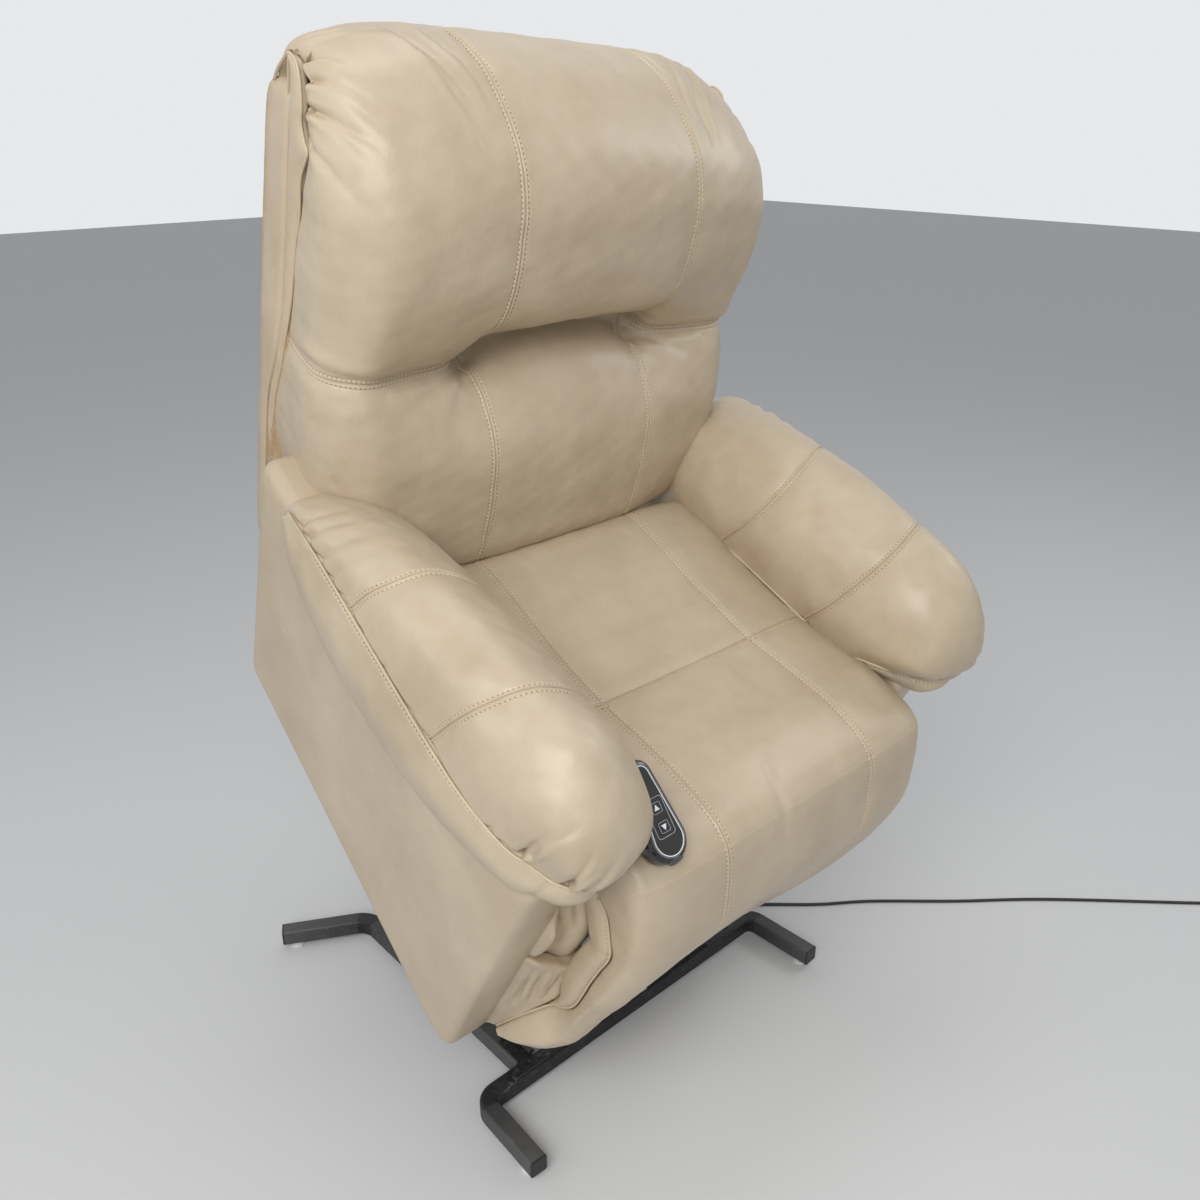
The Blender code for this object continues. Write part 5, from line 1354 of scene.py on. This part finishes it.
def hand_control():
    gloss = plastic("hand_gloss_black", (.005, .005, .006), .14, .3)
    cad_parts["handset"].material_slots[0].material = gloss
    dark = plastic("hand_panel_dark", (.010, .0105, .013), .30)
    grey = plastic("hand_grey", (.42, .43, .45), .40)
    white = plastic("hand_white", (.86, .87, .88), .35)
    hand_outlines(white, grey)
    hand_tip(plastic("hand_tip_grey", (.085, .086, .092), .45))
    for name, middle in HAND_BUTTONS.items():
        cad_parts[name].material_slots[0].material = dark
        hand_button(name, middle, grey, white)


# ---------------------------------------------------------------- steel base and other bare parts

def painted_steel():
    """Black paint with dust in patches, grey scuffs and worn corners."""
    f = Finish("scuffed_black_paint")
    dust = f.noise(26.0, 6.0, 0.68).between(0.50, 0.74)
    scuff = f.noise(70.0, 5.0, 0.7, (1.0, 1.0, 2.2), 0.8).between(0.60, 0.68)
    scratch = f.noise(210.0, 2.0, 0.5, (6.0, 1.0, 1.0)).between(0.67, 0.71)
    paint = f.mix(dust * 0.24, (.011, .011, .012), (.120, .112, .096))
    paint = f.mix(scuff * 0.45, paint, (.21, .205, .195))
    paint = f.mix(scratch * 0.40, paint, (.30, .30, .29))
    paint = f.mix(f.edges(0.53, 0.62) * 0.35, paint, (.26, .25, .24))
    relief = f.bump(f.noise(480.0, 3.0, 0.6), 0.00012, 0.7, f.bump(scuff * -1.0, 0.0002, 0.6))
    return f.set(Base_Color=paint, Roughness=dust * 0.25 + scuff * 0.15 + 0.46, Normal=relief,
                 Specular_IOR_Level=0.32)


def bare_metal(name, colour, rough, marks):
    f = Finish(name)
    haze = f.noise(38.0, 5.0, 0.6).between(0.3, 0.7)
    spots = f.noise(130.0, 3.0, 0.6).between(0.62, 0.72)
    relief = f.bump(f.noise(620.0, 2.0), 0.00005, 0.6)
    return f.set(Base_Color=f.mix(spots * marks, colour, (.23, .19, .15)), Metallic=1 - spots * marks,
                 Roughness=haze * 0.18 + spots * 0.2 + rough, Normal=relief)


def plywood():
    f = Finish("bare_plywood")
    fibre = f.noise(60.0, 5.0, 0.6, (0.12, 1.0, 1.0), 0.4).between(0.3, 0.7)
    ply = f.noise(300.0, 1.0, 0.4, (0.05, 1.0, 0.4)).between(0.45, 0.55)
    tone = f.mix(fibre, (.36, .23, .12), (.52, .37, .22))
    return f.set(Base_Color=f.mix(ply * 0.3, tone, (.25, .15, .08)), Roughness=fibre * 0.15 + 0.6,
                 Normal=f.bump(fibre, 0.0004, 0.5))


def label_paper():
    f = Finish("bare_label")
    stain = f.noise(120.0, 4.0).between(0.45, 0.8)
    tone = f.mix(stain * 0.5, (.80, .80, .78), (.55, .53, .48))
    return f.set(Base_Color=tone, Roughness=stain * 0.2 + 0.45)


def bare_solids(rubber):
    """Gives the solids that show their own finishes."""
    finishes = {
        "black_steel": painted_steel(), "zinc_steel": bare_metal("dull_zinc", (.52, .53, .54), .34, .35),
        "black_plastic": plastic("black_plastic_case", (.018, .018, .019), .42),
        "glide_chrome": plastic("glide_bright", (.80, .80, .78), .22, .6), "plywood": plywood(),
        "cord_rubber": rubber,
    }
    for name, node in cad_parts.items():
        for slot in node.material_slots:
            kind = slot.material.name.split(".")[0]
            if name != "handset" and name not in HAND_BUTTONS and kind in finishes:
                slot.material = finishes[kind]


def frame_plate(name, outline, low, high, finish):
    """A thin plate on the floor frame, given in the model's frame."""
    flat_plate(name, outline, low, high, finish, "floor_frame", place=np.asarray)


def frame_details():
    """Holes of the gussets as near-black discs of painted shade, the plug studs with a slit of painted shade,
    and the bare label on the front tube.
    """
    gusset_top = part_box("left_gusset")[1][2]
    # Painted shade: flat near-black discs and slits where the holes and the plug's slot would hold shadow.
    shade_disc = plastic("painted_hole_shade", (.004, .004, .004), .8)
    plug = plastic("tube_plug", (.030, .030, .031), .5)
    turn = np.linspace(0, 2 * math.pi, 25)[:-1]
    disc = np.stack([np.cos(turn), np.sin(turn)], -1)
    stud = (.1965, -.1180)
    discs = (("hole_back", (.2290, -.0480), .0050, gusset_top - .0003, gusset_top + .0002, shade_disc),
             ("hole_front", (.2105, -.1010), .0040, gusset_top - .0003, gusset_top + .0002, shade_disc),
             ("plug_flange", stud, .0085, .0419, .0436, plug), ("plug_face", stud, .0060, .0430, .0444, plug))
    for side, word in SIDES.items():
        for name, (x, y), radius, low, high, finish in discs:
            frame_plate(f"{word}_{name}", disc * radius + (side * x, y), low, high, finish)
        slit = rounded(side * stud[0] - .0050, side * stud[0] + .0050, -.1189, -.1171, .0008)
        frame_plate(f"{word}_plug_slot_shade", slit, .0440, .0446, shade_disc)
    sticker = rounded(-.045, .034, -.1270, -.1172, .0006, 3)
    frame_plate("blank_label", sticker, .0418, .0422, label_paper())


def chair():
    """Every piece, in the order in which they are listed."""
    rubber = black_rubber()
    mains_lead(rubber)
    bare_solids(rubber)
    frame_details()
    hand_control()
    back_cushion()
    outside_back()
    for side in SIDES:
        back_boxing(side)
        arm_box(side)
    for side in SIDES:
        arm_cushion(side)
        arm_boxing(side)
    seat_and_front()
    for side in SIDES:
        footrest_boxing(side)
        gusset(side, "upper")
        gusset(side, "lower")


room()
chair()
